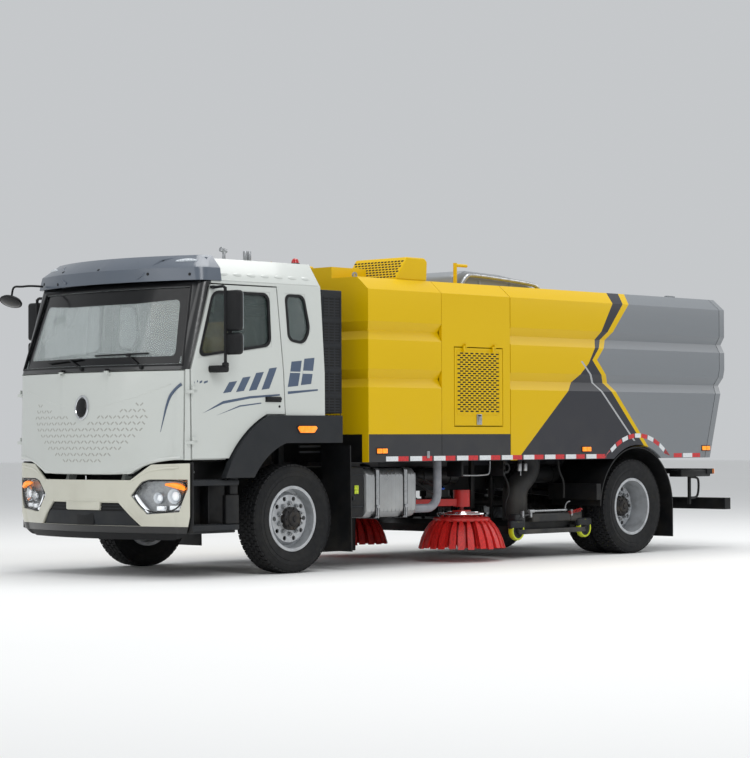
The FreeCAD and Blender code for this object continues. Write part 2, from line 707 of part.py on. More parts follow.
# Level sections of the cab: height, how far the side lies in from the cab's half width,
# where the side and the corner end behind the front, how far in the corner lies, and how
# far the front's middle lies behind the front.
CAB_SECTIONS = (
    # name, height, in, side_end, corner_x, corner_in, front
    ("cab_low", 900, 0, 300, 205, 215, 20),
    ("cab_belt", 1150, 0, 300, 195, 215, 0),
    ("cab_waist", float(s.cab_waist), 5, 330, 215, 175, 55),
    ("cab_header", float(s.cab_header), 60, 550, 470, 175, 310),
    ("cab_roof", float(s.cab_roof), 210, 780, 710, 350, 550),
)
CORNER_BULGE = 26


def over(point):
    """The same place on the other side of the truck."""
    return FreeCAD.Vector(point.x, -point.y, point.z)


def taper_at(x):
    """How far a side of the cab has drawn in at a place along the truck."""
    return float(s.cab_taper) * (x - float(cab_rear)) / 1000


def level(row, height, side_inset=0, front_inset=0, rear_inset=0):
    """One closed level outline of the cab, drawn in from the outside by the insets."""
    name, row_height, side_in, side_end, corner_x, corner_in, front = row
    face = float(cab_front) - front_inset
    half = float(s.cab_half_width) - side_inset
    a = FreeCAD.Vector(face - side_end, half - side_in - taper_at(face - side_end), height)
    b = FreeCAD.Vector(face - corner_x, half - corner_in, height)
    run = (b - a).normalize()
    mid = (a + b) * 0.5 + FreeCAD.Vector(-run.y, run.x, 0) * CORNER_BULGE
    tip = FreeCAD.Vector(face - front, 0, height)
    rear_x = float(cab_rear) + rear_inset
    rear = FreeCAD.Vector(rear_x, half - side_in - taper_at(rear_x), height)
    return Part.Wire([
        Part.LineSegment(rear, a).toShape(),
        Part.Arc(a, mid, b).toShape(),
        Part.Arc(b, tip, over(b)).toShape(),
        Part.Arc(over(b), over(mid), over(a)).toShape(),
        Part.LineSegment(over(a), over(rear)).toShape(),
        Part.LineSegment(over(rear), rear).toShape(),
    ])


def lofted(rows, insets=(0, 0), lowered=None):
    """A solid through level sections, drawn in by side and front insets."""
    heights = [lowered.get(row[0], row[1]) if lowered else row[1] for row in rows]
    wires = [level(row, height, *insets) for row, height in zip(rows, heights)]
    return Part.makeLoft(wires, True, True)


def cab_solid(side_inset=0, front_insets=(0, 0, 0, 0, 0), rear_inset=0, lower=0):
    """The cab's outer form, or the same form drawn in."""
    wires = []
    for row, front_inset in zip(CAB_SECTIONS, front_insets):
        height = row[1] - lower if row[0] == "cab_roof" else row[1]
        wires.append(level(row, height, side_inset, front_inset, rear_inset))
    return Part.makeLoft(wires, True, True)


def face_prism(points, low, high, axis):
    """A closed outline in Y-Z or X-Z drawn out along X or Y."""
    if axis == "x":
        corners = [FreeCAD.Vector(low, y, z) for y, z in points]
        way = FreeCAD.Vector(high - low, 0, 0)
    else:
        corners = [FreeCAD.Vector(x, low, z) for x, z in points]
        way = FreeCAD.Vector(0, high - low, 0)
    return Part.Face(Part.makePolygon(corners + corners[:1])).extrude(way)


def grown(points, gap):
    """A convex outline moved out from its middle by a gap on both axes."""
    middle_a = sum(point[0] for point in points) / len(points)
    middle_b = sum(point[1] for point in points) / len(points)
    return [
        (a + math.copysign(gap, a - middle_a), b + math.copysign(gap, b - middle_b))
        for a, b in points
    ]


def arch_tool(radius, top, low_y, high_y):
    """The space around a front wheel: a round arch with a flat top."""
    axle = float(front_axle)
    centre = FreeCAD.Vector(axle, low_y, float(s.tyre_radius))
    drum = Part.makeCylinder(radius, high_y - low_y, centre, FreeCAD.Vector(0, 1, 0))
    lid = Part.makeBox(3 * radius, high_y - low_y, top, FreeCAD.Vector(axle - 1.5 * radius, low_y, 0))
    rear = Part.makeBox(radius, high_y - low_y, top, FreeCAD.Vector(axle - 1.2 * radius, low_y, 0))
    return drum.common(lid).fuse(rear)


def door_outline(side_gap=0):
    """Door opening in the side view: hinge edge at the front, slanted top front corner."""
    axle = float(front_axle)
    bottom = float(s.cab_floor) + 12
    return (
        (axle + 1320 + side_gap, bottom - side_gap),
        (axle + 1320 + side_gap, 1860),
        (axle + 1055 + side_gap, 2632 + side_gap),
        (axle + 262 - side_gap, 2632 + side_gap),
        (axle + 205 - side_gap, 1400),
        (axle + 205 - side_gap, bottom - side_gap),
    )


def door_window():
    axle = float(front_axle)
    return ((axle + 1255, 1965), (axle + 1040, 2585), (axle + 345, 2585), (axle + 352, 2085))


def quarter_window():
    axle = float(front_axle)
    return ((axle + 150, 2140), (axle + 165, 2585), (axle - 90, 2585), (axle - 150, 2250), (axle - 60, 2110))


def windscreen():
    return ((-1110, 1915), (1110, 1915), (1010, 2610), (-1010, 2610))


def hood_outline(gap=0):
    half = float(s.hood_half_width) + gap
    middle = float(s.hood_bottom) - gap
    edge = float(s.hood_bottom_side) - gap
    top = float(s.cab_waist) - 8 + gap
    return ((-half, edge), (-820, edge - 15), (-600, middle), (600, middle), (820, edge - 15), (half, edge),
            (half, top), (-half, top))


def make_cab():
    axle = float(front_axle)
    half = float(s.cab_half_width)
    door_edge = axle + 1320
    hinge_face = half - taper_at(door_edge)
    wide = half + 150
    outer = cab_solid()
    wall = float(s.cab_wall)
    behind_hood = float(s.hood_thickness) + 20 + wall
    cavity = cab_solid(wall, (behind_hood, behind_hood, behind_hood - 20, wall, wall), wall, wall)
    gap = float(s.hood_gap)
    hood_depth = float(s.hood_thickness)
    core_spread = 3
    hood_core = cab_solid(-core_spread, (hood_depth,) * 5)
    slot_core = cab_solid(-core_spread, (hood_depth + 20,) * 5)
    hood = outer.common(face_prism(hood_outline(), axle + 1100, axle + 1700, "x")).cut(hood_core)
    slot = outer.common(face_prism(hood_outline(gap), axle + 1100, axle + 1700, "x")).cut(slot_core)
    floor_cut = Part.makeBox(3000, 2 * wide, 1000, FreeCAD.Vector(axle - 1000, -wide, float(s.cab_floor) - 1000))
    arch = arch_tool(float(s.arch_radius), float(s.arch_top), -wide, wide)
    arch_inside = arch_tool(float(s.arch_radius) + wall, float(s.arch_top) + wall, -wide, wide)
    room_floor = Part.makeBox(3000, 2 * wide, 1000, FreeCAD.Vector(axle - 1000, -wide, float(s.cab_floor) + wall - 1000))
    shell = outer.cut(slot).cut(floor_cut).cut(arch)
    room = cavity.cut(arch_inside).cut(room_floor)
    shell = shell.cut(room)
    screen = face_prism(windscreen(), axle + 700, axle + 1700, "x")
    shell = shell.cut(screen)
    back_window = face_prism(((-520, 1950), (520, 1950), (520, 2400), (-520, 2400)), axle - 400, axle - 200, "x")
    shell = shell.cut(back_window)
    inset = float(s.glass_inset)
    thick = float(s.glass_thickness)
    pane = cab_solid(inset, (inset,) * 5, inset).cut(cab_solid(inset + thick, (inset + thick,) * 5, inset + thick))
    panes = [pane.common(screen), pane.common(back_window)]
    doors = {}
    glasses = {}
    ears = []
    skin = outer.cut(cab_solid(wall))
    opening_skin = outer.cut(cab_solid(wall + 8))
    for side, word in ((1, "left"), (-1, "right")):
        low, high = (half - 350, wide) if side > 0 else (-wide, 350 - half)
        opening = opening_skin.common(face_prism(door_outline(gap), low, high, "y"))
        leaf_prism = face_prism(door_outline(), low, high, "y")
        quarter = face_prism(quarter_window(), low, high, "y")
        window = face_prism(door_window(), low, high, "y")
        arch_gap = arch_tool(float(s.arch_radius) + 12, float(s.arch_top) + 12, low, high)
        leaf = skin.common(leaf_prism).cut(arch_gap).cut(window)
        for base in (1200, 1650):
            def chunk(x0, x1, y0, y1, z0, z1):
                low_y = hinge_face + y0 if side > 0 else -hinge_face - y1
                return Part.makeBox(x1 - x0, y1 - y0, z1 - z0, FreeCAD.Vector(door_edge + x0, low_y, base + z0))
            pin_place = FreeCAD.Vector(door_edge + 6, side * (hinge_face + 12), base - 2)
            ear = chunk(-1, 42, 4, 20, 0, 30).fuse(chunk(16, 42, -45, 20, 0, 30))
            ears.append(ear.fuse(Part.makeCylinder(6, 68, pin_place)))
            lug = chunk(-50, -2, -25, 20, 32, 62).fuse(chunk(-50, 16, 4, 20, 32, 62))
            leaf = leaf.fuse(lug).cut(Part.makeCylinder(6 + float(s.running_gap), 70, pin_place))
        doors[word] = leaf
        glasses[word] = pane.common(window)
        shell = shell.cut(opening).cut(quarter)
        panes.append(pane.common(quarter))
    for side in (1, -1):
        low_y = 300 if side > 0 else -320
        ear = Part.makeBox(65, 20, 17, FreeCAD.Vector(axle + 1515, low_y, 1867))
        ear = ear.fuse(Part.makeBox(22, 20, 34, FreeCAD.Vector(axle + 1558, low_y, 1850)))
        pin_low = 300 if side > 0 else -345
        pin_place = FreeCAD.Vector(axle + 1568, pin_low, 1862)
        ears.append(ear.fuse(Part.makeCylinder(5, 45, pin_place, FreeCAD.Vector(0, 1, 0))))
        lug_y = 322 if side > 0 else -343
        lug = Part.makeBox(20, 21, 34, FreeCAD.Vector(axle + 1558, lug_y, 1838))
        lug = lug.fuse(Part.makeBox(48, 21, 23, FreeCAD.Vector(axle + 1530, lug_y, 1825)))
        hood = hood.fuse(lug).cut(Part.makeCylinder(5 + float(s.running_gap), 60, pin_place - FreeCAD.Vector(0, 5, 0),
                                                    FreeCAD.Vector(0, 1, 0)))
        foot_y = 373 if side > 0 else -413
        tilt = FreeCAD.Vector(axle + float(s.tilt_x), -450, float(s.tilt_z))
        foot = face_prism(((tilt.x - 40, tilt.z - 35), (tilt.x + 35, tilt.z - 35), (tilt.x + 35, tilt.z + 25),
                           (tilt.x - 60, tilt.z + 310), (tilt.x - 140, tilt.z + 310)), foot_y, foot_y + 40, "y")
        ears.append(foot.cut(Part.makeCylinder(20 + float(s.running_gap), 900, tilt, FreeCAD.Vector(0, 1, 0))))
    shell = shell.fuse(ears)
    part("cab_shell", shaped("cab_shell", shell))
    part("cab_glass", shaped("cab_glass", Part.Compound(panes)))
    part("front_panel", shaped("front_panel", hood))
    for word in ("left", "right"):
        part(f"door_{word}", shaped(f"door_{word}", doors[word]))
        part(f"glass_{word}", shaped(f"glass_{word}", glasses[word]))


# Level sections of the bumper, in the same columns as the cab's.
BUMPER_SECTIONS = (
    # name, height, in, side_end, corner_x, corner_in, front
    ("bumper_lip", float(s.bumper_bottom), 15, 330, 245, 215, 65),
    ("bumper_low", 560, 0, 300, 215, 210, 30),
    ("bumper_high", float(s.bumper_top), 0, 300, 205, 215, 20),
    ("bumper_edge", 1060, 0, 300, 205, 215, 20),
)


def bumper_solid(inset=0, lower=0):
    return lofted(BUMPER_SECTIONS, (inset, inset), {"bumper_lip": float(s.bumper_bottom) - lower})


def headlamp_outline(side):
    return [(side * y, z) for y, z in (
        (598, 740), (720, 865), (800, 887), (1170, 887), (1170, 800), (1100, 600), (760, 575),
    )]


def make_bumper():
    axle = float(front_axle)
    slot_low = float(s.tilt_z) + 22
    wall = float(s.bumper_wall)
    near, far = axle + 900, axle + 1700
    outer = bumper_solid()
    inside = bumper_solid(wall, 10)
    behind = Part.makeBox(2000, 3000, 3000, FreeCAD.Vector(axle + float(s.bumper_rear_x) - 2000, -1500, 0))
    middle = float(s.bumper_top)
    edge = float(s.bumper_top_side)
    above = face_prism(((-1300, edge), (-820, edge - 15), (-600, middle), (600, middle), (820, edge - 15),
                        (1300, edge), (1300, 1200), (-1300, 1200)), near, far, "x")
    mouth_outline = ((-690, 470), (690, 470), (460, 675), (-460, 675))
    mouth = face_prism(mouth_outline, near, far, "x")
    skin = outer.cut(inside).cut(behind).cut(above).cut(mouth)
    lamp_shell = bumper_solid(8).cut(bumper_solid(70))
    lamps = []
    for side in (1, -1):
        pocket = face_prism(headlamp_outline(side), near, far, "x")
        skin = skin.cut(pocket)
        lamps.append(lamp_shell.common(pocket).cut(behind))
        lamp_y = 900 if side > 0 else -1180
        lamp_x = float(rail_rear) - 230
        lamps.append(Part.makeBox(30, 280, lamp_high - lamp_low, FreeCAD.Vector(lamp_x - 30, lamp_y, lamp_low)))
    part("front_bumper", shaped("front_bumper", skin))
    part("lamps", shaped("lamps", Part.Compound(lamps)))
    backing = inside.cut(bumper_solid(wall + 20))
    grille = backing.common(face_prism(grown(mouth_outline, 30), near, far, "x"))
    slot = backing.common(face_prism(((-590, slot_low), (590, slot_low), (560, 876), (-560, 876)), near, far, "x"))
    lip_row = BUMPER_SECTIONS[0]
    lip_wires = [level(lip_row, lip_row[1] - 60, 40, 40), level(lip_row, lip_row[1], 8, 8)]
    lip = Part.makeLoft(lip_wires, True, True)
    lip = lip.cut(Part.makeBox(2000, 3000, 3000, FreeCAD.Vector(axle + 1330 - 2000, -1500, 0)))
    part("bumper_grille", shaped("bumper_grille", Part.Compound([grille, slot, lip])))
    horns = []
    horn_rear = front_axle + first_member_x + member_length + s.running_gap
    inner = shaped("bumper_space", inside)
    for side in (1, -1):
        y = (rail_inner_y, rail_inner_y + 25) if side > 0 else (-rail_inner_y - 25, -rail_inner_y)
        beam = block(f"horn_{side}", (horn_rear, front_axle + 1600), y, (735, slot_low - 5))
        horns.append(common(f"horn_end_{side}", beam, inner))
        pin_start = rail_inner_y if side > 0 else -rail_inner_y - 80
        horns.append(rod(f"tilt_pin_{side}", "y", (front_axle + s.tilt_x, pin_start, s.tilt_z), 20, 80))
    part("frame_horns", together("frame_horns", joined("horn_left", horns[0], horns[1]),
                                 joined("horn_right", horns[2], horns[3])))


def make_wheel_arches():
    """Trim around each front wheel with its liner; it tilts with the cab."""
    axle = float(front_axle)
    half = float(s.cab_half_width)
    arches = []
    for side in (1, -1):
        low, high = (half - 60, half + 12) if side > 0 else (-half - 12, 60 - half)
        liner_low, liner_high = (half - 550, half + 12) if side > 0 else (-half - 12, 550 - half)
        keep = Part.makeBox(1500, 4000, 1000, FreeCAD.Vector(axle - 525, -2000, 895))
        keep_liner = Part.makeBox(1500, 4000, 1000, FreeCAD.Vector(float(cab_rear) + 10, -2000, 895))
        inner_r = float(s.arch_inner_radius)
        trim = arch_tool(float(s.arch_radius), float(s.arch_top), low, high).cut(
            arch_tool(inner_r, 1205, low - 1, high + 1))
        liner = arch_tool(inner_r + 12, 1217, liner_low, liner_high).cut(
            arch_tool(inner_r, 1205, liner_low - 1, liner_high + 1))
        arches.append(trim.common(keep).fuse(liner.common(keep_liner)))
    part("wheel_arches", shaped("wheel_arches", Part.Compound(arches)))


def make_cab_inside():
    axle = float(front_axle)
    floor = float(s.arch_top) + float(s.cab_wall)
    seats = []
    for word, y in (("left", 600), ("right", -600)):
        pad = block(f"seat_pad_{word}", (front_axle + 20, front_axle + 520), (y - 250, y + 250),
                    (s.arch_top + s.cab_wall, s.arch_top + s.cab_wall + 380))
        back = prism(f"seat_back_{word}", "XZ", (
            (front_axle - 40, floor + 330), (front_axle + 90, floor + 330),
            (front_axle - 20, floor + 1000), (front_axle - 130, floor + 1000),
        ), y - 240, y + 240)
        seats.append(joined(f"seat_{word}", pad, back))
    part("seats", together("seats", *seats))
    wall = float(s.cab_wall)
    behind_hood = float(s.hood_thickness) + 20 + wall
    cavity = cab_solid(wall, (behind_hood, behind_hood, behind_hood - 20, wall, wall), wall, wall)
    box = Part.makeBox(800, 2200, 370, FreeCAD.Vector(axle + 1020, -1100, floor))
    panel = cavity.common(box)
    centre = FreeCAD.Vector(axle + 860, 600, 1935)
    way = FreeCAD.Vector(-0.55, 0, 0.83).normalize()
    ring = Part.makeTorus(215, 16, centre, way)
    hub = Part.makeCylinder(60, 30, centre - way * 30, way)
    column = Part.makeCylinder(28, 330, centre - way * 330, way)
    spokes = Part.makeBox(24, 420, 20, FreeCAD.Vector(-12, -210, -22))
    spokes.Placement = FreeCAD.Placement(centre, FreeCAD.Rotation(FreeCAD.Vector(0, 0, 1), way))
    lower = Part.makeBox(300, 200, 120, FreeCAD.Vector(axle + 960, 500, 1560))
    part("dashboard", shaped("dashboard", panel.fuse([column, hub, ring, spokes, lower]).removeSplitter()))


VISOR_SECTIONS = (
    # name, height, in, side_end, corner_x, corner_in, front
    ("visor_low", 2668, 50, 525, 415, 165, 215),
    ("visor_middle", 2785, 70, 550, 425, 190, 205),
    ("visor_top", 2905, 180, 670, 550, 310, 340),
)


def make_visor():
    """Sun visor over the windscreen: a skin open below, seated on the roof's front."""
    outer = lofted(VISOR_SECTIONS)
    hollow = lofted(VISOR_SECTIONS, (28, 28), {"visor_low": 2600, "visor_top": 2880})
    behind = Part.makeBox(3000, 3000, 3000, FreeCAD.Vector(float(front_axle) + 930 - 3000, -1500, 0))
    visor = outer.cut(hollow).cut(cab_solid()).cut(behind)
    solid = max(visor.Solids, key=lambda piece: piece.Volume)
    part("sun_visor", shaped("sun_visor", solid))


def make_mirrors():
    axle = front_axle
    half = s.cab_half_width
    seat = half - s.cab_taper * (axle + 1010 - cab_rear) / 1000
    for side, word in ((1, "left"), (-1, "right")):
        def span(low, high):
            return (low, high) if side > 0 else (-high, -low)
        pole = rod(f"mirror_pole_{word}", "z", (axle + 1040, side * (half + 80), 1870), 13, 750)
        base = block(f"mirror_base_{word}", (axle + 1010, axle + 1130), span(seat - 4.5, half + 95), (1835, 1905))
        top = block(f"mirror_top_{word}", (axle + 1020, axle + 1060), span(seat - 54, half + 95), (2590, 2620))
        main = block(f"mirror_main_{word}", (axle + 955, axle + 1040), span(half + 50, half + 240), (2205, 2570))
        low = block(f"mirror_low_{word}", (axle + 955, axle + 1045), span(half + 50, half + 240), (1995, 2190))
        part(f"mirror_{word}", joined(f"mirror_{word}", pole, base, top, main, low))
    disc = rod("front_mirror_disc", "x", (axle + 1440, 35 - half, 2560), 120, 50)
    arm = prism("front_mirror_arm", "YZ", (
        (25 - half, 2640), (25 - half, 2662), (265 - half, 2712), (265 - half, 2690),
    ), axle + 1455, axle + 1477)
    stem = block("front_mirror_stem", (axle + 1455, axle + 1477), (25 - half, 47 - half), (2640, 2662))
    foot = block("front_mirror_foot", (axle + 1229, axle + 1477), (243 - half, 265 - half), (2690, 2712))
    part("front_mirror", joined("front_mirror", disc, arm, stem, foot))


def make_air_intake():
    """Tall intake panels behind the cab, on a cross frame that stands on the rails."""
    x = (cab_rear - 300, cab_rear - 20)
    panels = []
    for side in (1, -1):
        y = (850, 1180) if side > 0 else (-1180, -850)
        panels.append(block(f"intake_panel_{side}", x, y, (1480, 2640)))
        leg_y = (rail_inner_y, s.rail_outer_y) if side > 0 else (-s.rail_outer_y, -rail_inner_y)
        panels.append(block(f"intake_leg_{side}", (cab_rear - 270, cab_rear - 200), leg_y, (s.rail_top, 1500)))
    cross = block("intake_cross", (cab_rear - 270, cab_rear - 200), (-900, 900), (1450, 1530))
    part("air_intake", joined("air_intake", cross, *panels))


# ---------------------------------------------------------------- sweeper body

def body_outline(grooved, inset=0, floor=0):
    """Cross-section of the body; grooved sides have two long V grooves."""
    half = s.body_half_width - inset
    bottom = s.body_bottom + floor
    side = [(half, bottom)]
    if grooved:
        for top in (s.lower_groove_top, s.upper_groove_top):
            side += [
                (half, top - s.groove_height),
                (half - s.groove_depth, top - s.groove_height * 0.48),
                (half, top),
            ]
    side += [(half, s.body_shoulder - inset * 0.4), (s.roof_edge_y - inset * 0.4, s.body_roof - inset)]
    return side + [(-y, z) for y, z in reversed(side)]


def sill(name, low, high, under):
    """Sills that carry a body module on the rails."""
    sills = []
    for side in (1, -1):
        y = (rail_inner_y, s.rail_outer_y) if side > 0 else (-s.rail_outer_y, -rail_inner_y)
        sills.append(block(f"{name}_sill_{side}", (low, high), y, (s.rail_top + under, s.body_bottom + 5)))
    return sills


def make_power_pack():
    low = first_split + s.joint_gap / 4
    outer = prism("pack_outer", "YZ", body_outline(True), low, body_front)
    room = prism("pack_room", "YZ", body_outline(False, s.groove_depth + s.body_wall, s.body_wall),
                 low - 1, body_front - s.groove_depth - s.body_wall)
    wedges = []
    for index, top in enumerate((s.lower_groove_top, s.upper_groove_top)):
        wedges.append(prism(f"front_groove_{index}", "XZ", (
            (body_front + 1, top - s.groove_height),
            (body_front - s.groove_depth, top - s.groove_height * 0.52),
            (body_front + 1, top),
        ), -s.body_half_width - 1, s.body_half_width + 1))
    deck = block("pack_deck", (body_front - 480, body_front), (-790, 790), (s.body_roof - 5, s.body_roof + 110))
    shell = cut("pack_shell", outer, room, *wedges)
    part("power_pack_housing", joined("power_pack_housing", shell, deck, *sill("pack", low, body_front, 0)))
    cowls = []
    for side in (1, -1):
        y = (430, s.roof_edge_y - 10) if side > 0 else (-s.roof_edge_y + 10, -430)
        cowls.append(prism(f"cowl_{side}", "XZ", (
            (first_split + 40, s.body_roof), (first_split + 30, s.body_roof + 190),
            (first_split + 70, s.body_roof + 225), (first_split + 330, s.body_roof + 225),
            (first_split + 480, s.body_roof + 20), (first_split + 490, s.body_roof),
        ), y[0], y[1]))
    part("roof_cowls", together("roof_cowls", *cowls))


door_front = first_split - 193
door_back = first_split - 914
door_low = 1368
door_high = 2139
service_pin_y = s.body_half_width + 14
service_pin_z = door_high + 12


def make_fan_housing():
    low = second_split + s.joint_gap / 2
    high = first_split - s.joint_gap / 4
    outer = prism("fan_outer", "YZ", body_outline(False), low, high)
    room = prism("fan_room", "YZ", body_outline(False, s.body_wall, s.body_wall), low + s.body_wall, high + 1)
    gap = s.joint_gap
    cuts = [room]
    extras = []
    for side in (1, -1):
        y = (s.body_half_width - s.body_wall - 1, s.body_half_width + 1)
        y = y if side > 0 else (-y[1], -y[0])
        cuts.append(block(f"service_opening_{side}", (door_back - gap, door_front + gap), y,
                          (door_low - gap, door_high + gap)))
        face = (s.body_half_width - 1, s.body_half_width + 22)
        face = face if side > 0 else (-face[1], -face[0])
        for index, along in enumerate((120, 560)):
            x = door_back + along
            extras.append(block(f"hinge_ear_{side}_{index}", (x, x + 20), face,
                                (door_high + 2, door_high + 40)))
            extras.append(rod(f"hinge_pin_{side}_{index}", "x", (x, side * service_pin_y, service_pin_z), 5, 52))
    shell = cut("fan_shell", outer, *cuts)
    pipe = rod("roof_pipe", "z", (first_split - 740, 800, s.body_roof - 20), 20, 255)
    spout = rod("roof_spout", "x", (first_split - 915, 800, s.body_roof + 212), 16, 180)
    part("fan_housing", joined("fan_housing", shell, *sill("fan", low, high, 0), *extras, pipe, spout))
    for side, word in ((1, "left"), (-1, "right")):
        y = (s.body_half_width - s.body_wall, s.body_half_width)
        y = y if side > 0 else (-y[1], -y[0])
        leaf = block(f"service_leaf_{word}", (door_back, door_front), y, (door_low, door_high))
        face = (s.body_half_width - 1, s.body_half_width + 22)
        face = face if side > 0 else (-face[1], -face[0])
        eye = (s.body_half_width + 6, s.body_half_width + 22)
        eye = eye if side > 0 else (-eye[1], -eye[0])
        lugs = []
        bores = []
        for index, along in enumerate((144, 584)):
            x = door_back + along
            lugs.append(block(f"hinge_lug_{word}_{index}", (x, x + 26), face, (door_high - 40, door_high - 2)))
            lugs.append(block(f"hinge_eye_{word}_{index}", (x, x + 26), eye, (door_high - 3, door_high + 20)))
            bores.append(rod(f"hinge_bore_{word}_{index}", "x", (x - 1, side * service_pin_y, service_pin_z),
                             5 + s.running_gap, 28))
        solid = joined(f"service_solid_{word}", leaf, *lugs)
        part(f"service_door_{word}", cut(f"service_door_{word}", solid, *bores))


def tail_line(shift):
    """The rear face in the side view, moved forward by a shift: top, bend and bottom."""
    return (
        (body_rear + shift, s.body_roof + 60),
        (body_rear + shift, s.tail_bend),
        (body_rear + shift + s.tail_slope, s.body_bottom - 1),
    )


def make_hopper():
    high = second_split - s.joint_gap / 2
    outer = prism("hopper_outer", "YZ", body_outline(True), body_rear, high)
    room = prism("hopper_room", "YZ", body_outline(False, s.groove_depth + s.body_wall, s.body_wall),
                 body_rear - 10, high - s.body_wall)
    gate_face = tail_line(s.tailgate_thickness)
    mouth_face = tail_line(s.tailgate_thickness + s.joint_gap)
    back = body_rear - 400
    wide = s.body_half_width + 10
    low = s.body_bottom - 60
    rear_of_mouth = prism("behind_mouth", "XZ", (
        *mouth_face, (mouth_face[2][0], low), (back, low), (back, s.body_roof + 60)), -wide, wide)
    rear_of_gate = prism("behind_gate", "XZ", (
        *gate_face, (gate_face[2][0], low), (back, low), (back, s.body_roof + 60)), -wide, wide)
    tail = tail_line(0)
    rear_of_tail = prism("behind_tail", "XZ", (
        *tail, (tail[2][0], low), (back, low), (back, s.body_roof + 60)), -wide, wide)
    arches = []
    boxes = []
    for side in (1, -1):
        start = 585 if side > 0 else -s.body_half_width - 20
        length = s.body_half_width + 20 - 585
        arches.append(rod(f"hopper_arch_{side}", "y", (rear_axle, start, s.tyre_radius), 662, length))
        start = 585 - s.body_wall if side > 0 else -s.body_half_width - 20
        boxes.append(rod(f"arch_box_{side}", "y", (rear_axle, start, s.tyre_radius), 662 + s.body_wall,
                         length + s.body_wall))
    hollow = cut("hopper_hollow", room, *boxes)
    ports = [
        rod(f"suction_port_{side}", "z", (duct_top_x, side * s.duct_y, s.body_bottom - 10),
            s.duct_radius - s.duct_wall, 120)
        for side in (1, -1)
    ]
    shell = cut("hopper_shell", outer, hollow, rear_of_mouth, *arches, *ports)
    sills = []
    extras = []
    for side in (1, -1):
        y = (rail_inner_y, s.rail_outer_y) if side > 0 else (-s.rail_outer_y, -rail_inner_y)
        sills.append(block(f"hopper_sill_{side}", (tip_x + 130, high - 40), y,
                           (s.rail_top + s.running_gap, s.body_bottom + 5)))
        lug_y = (250, 330) if side > 0 else (-330, -250)
        extras.append(block(f"tip_lug_{side}", (tip_x - 45, tip_x + 45), lug_y,
                            (s.tip_z - 42, s.body_bottom + 5)))
        ear_y = (625, 655) if side > 0 else (-655, -625)
        extras.append(block(f"gate_ear_{side}", (hinge_x - 28, hinge_x + 90), ear_y,
                            (s.body_roof - 5, hinge_z + 22)))
        pin_y = 560 if side > 0 else -655
        extras.append(rod(f"gate_pin_{side}", "y", (hinge_x, pin_y, hinge_z), 12, 95))
    bore = rod("tip_bore", "y", (tip_x, -340, s.tip_z), s.tip_pin_radius + s.running_gap, 680)
    body = joined("hopper_body_solid", shell, *sills, *extras)
    part("hopper_body", cut("hopper_body", body, bore))
    gate = common("gate_slab", cut("gate_outer", prism("gate_block", "YZ", body_outline(True), body_rear, high),
                                   rear_of_tail), rear_of_gate)
    arms = []
    bores = []
    for side in (1, -1):
        arm_y = (562, 620) if side > 0 else (-620, -562)
        arms.append(block(f"gate_arm_{side}", (body_rear + 30, hinge_x + 22), arm_y,
                          (hinge_z - 22, hinge_z + 22)))
        arms.append(block(f"gate_foot_{side}", (body_rear + 30, body_rear + s.tailgate_thickness), arm_y,
                          (s.body_roof - 30, hinge_z - 20)))
        start = 560 if side > 0 else -622
        bores.append(rod(f"gate_bore_{side}", "y", (hinge_x, start, hinge_z), 12 + s.running_gap, 62))
    part("tailgate", cut("tailgate", joined("gate_solid", gate, *arms), *bores))
    duct = prism("roof_duct_solid", "XZ", (
        (high - 30, s.body_roof), (high - 60, s.body_roof + 210), (high - 350, s.body_roof + 225),
        (high - 1500, s.body_roof + 130), (high - 1750, s.body_roof + 60), (high - 1800, s.body_roof),
    ), -520, 520)
    part("roof_duct", duct)


# ---------------------------------------------------------------- sweeping gear

def make_brushes():
    for side, word in ((1, "left"), (-1, "right")):
        pin = (front_axle + s.arm_pivot_x, side * arm_pivot_y)
        head = (front_axle + s.brush_x, side * s.brush_y)
        eye = rod(f"arm_eye_{word}", "z", (pin[0], pin[1], 540), 48, 160)
        beam = prism(f"arm_beam_{word}", "XY", (
            (pin[0], pin[1] - 42), (pin[0], pin[1] + 42), (head[0], head[1] + 42), (head[0], head[1] - 42),
        ), 560, 630)
        motor = rod(f"brush_motor_{word}", "z", (head[0], head[1], s.brush_top + 30), 85, 170)
        shaft = rod(f"brush_shaft_{word}", "z", (head[0], head[1], s.brush_top - 90), 20, 130)
        bore = rod(f"arm_bore_{word}", "z", (pin[0], pin[1], 500), s.arm_pin_radius + s.running_gap, 240)
        solid = joined(f"arm_solid_{word}", eye, beam, motor, shaft)
        part(f"brush_arm_{word}", cut(f"brush_arm_{word}", solid, bore))
        tip_height = s.brush_top - s.brush_bottom
        brush = turned(f"brush_solid_{word}", "z", (
            (-15, 20 + s.running_gap), (0, 20 + s.running_gap), (0, 225), (-40, 250),
            (60 - tip_height, s.brush_radius), (-tip_height, s.brush_radius - 30),
            (-tip_height, s.brush_radius - 150), (-90, 60), (-90, 20 + s.running_gap),
        ), (head[0], head[1], s.brush_top))
        part(f"brush_{word}", brush)


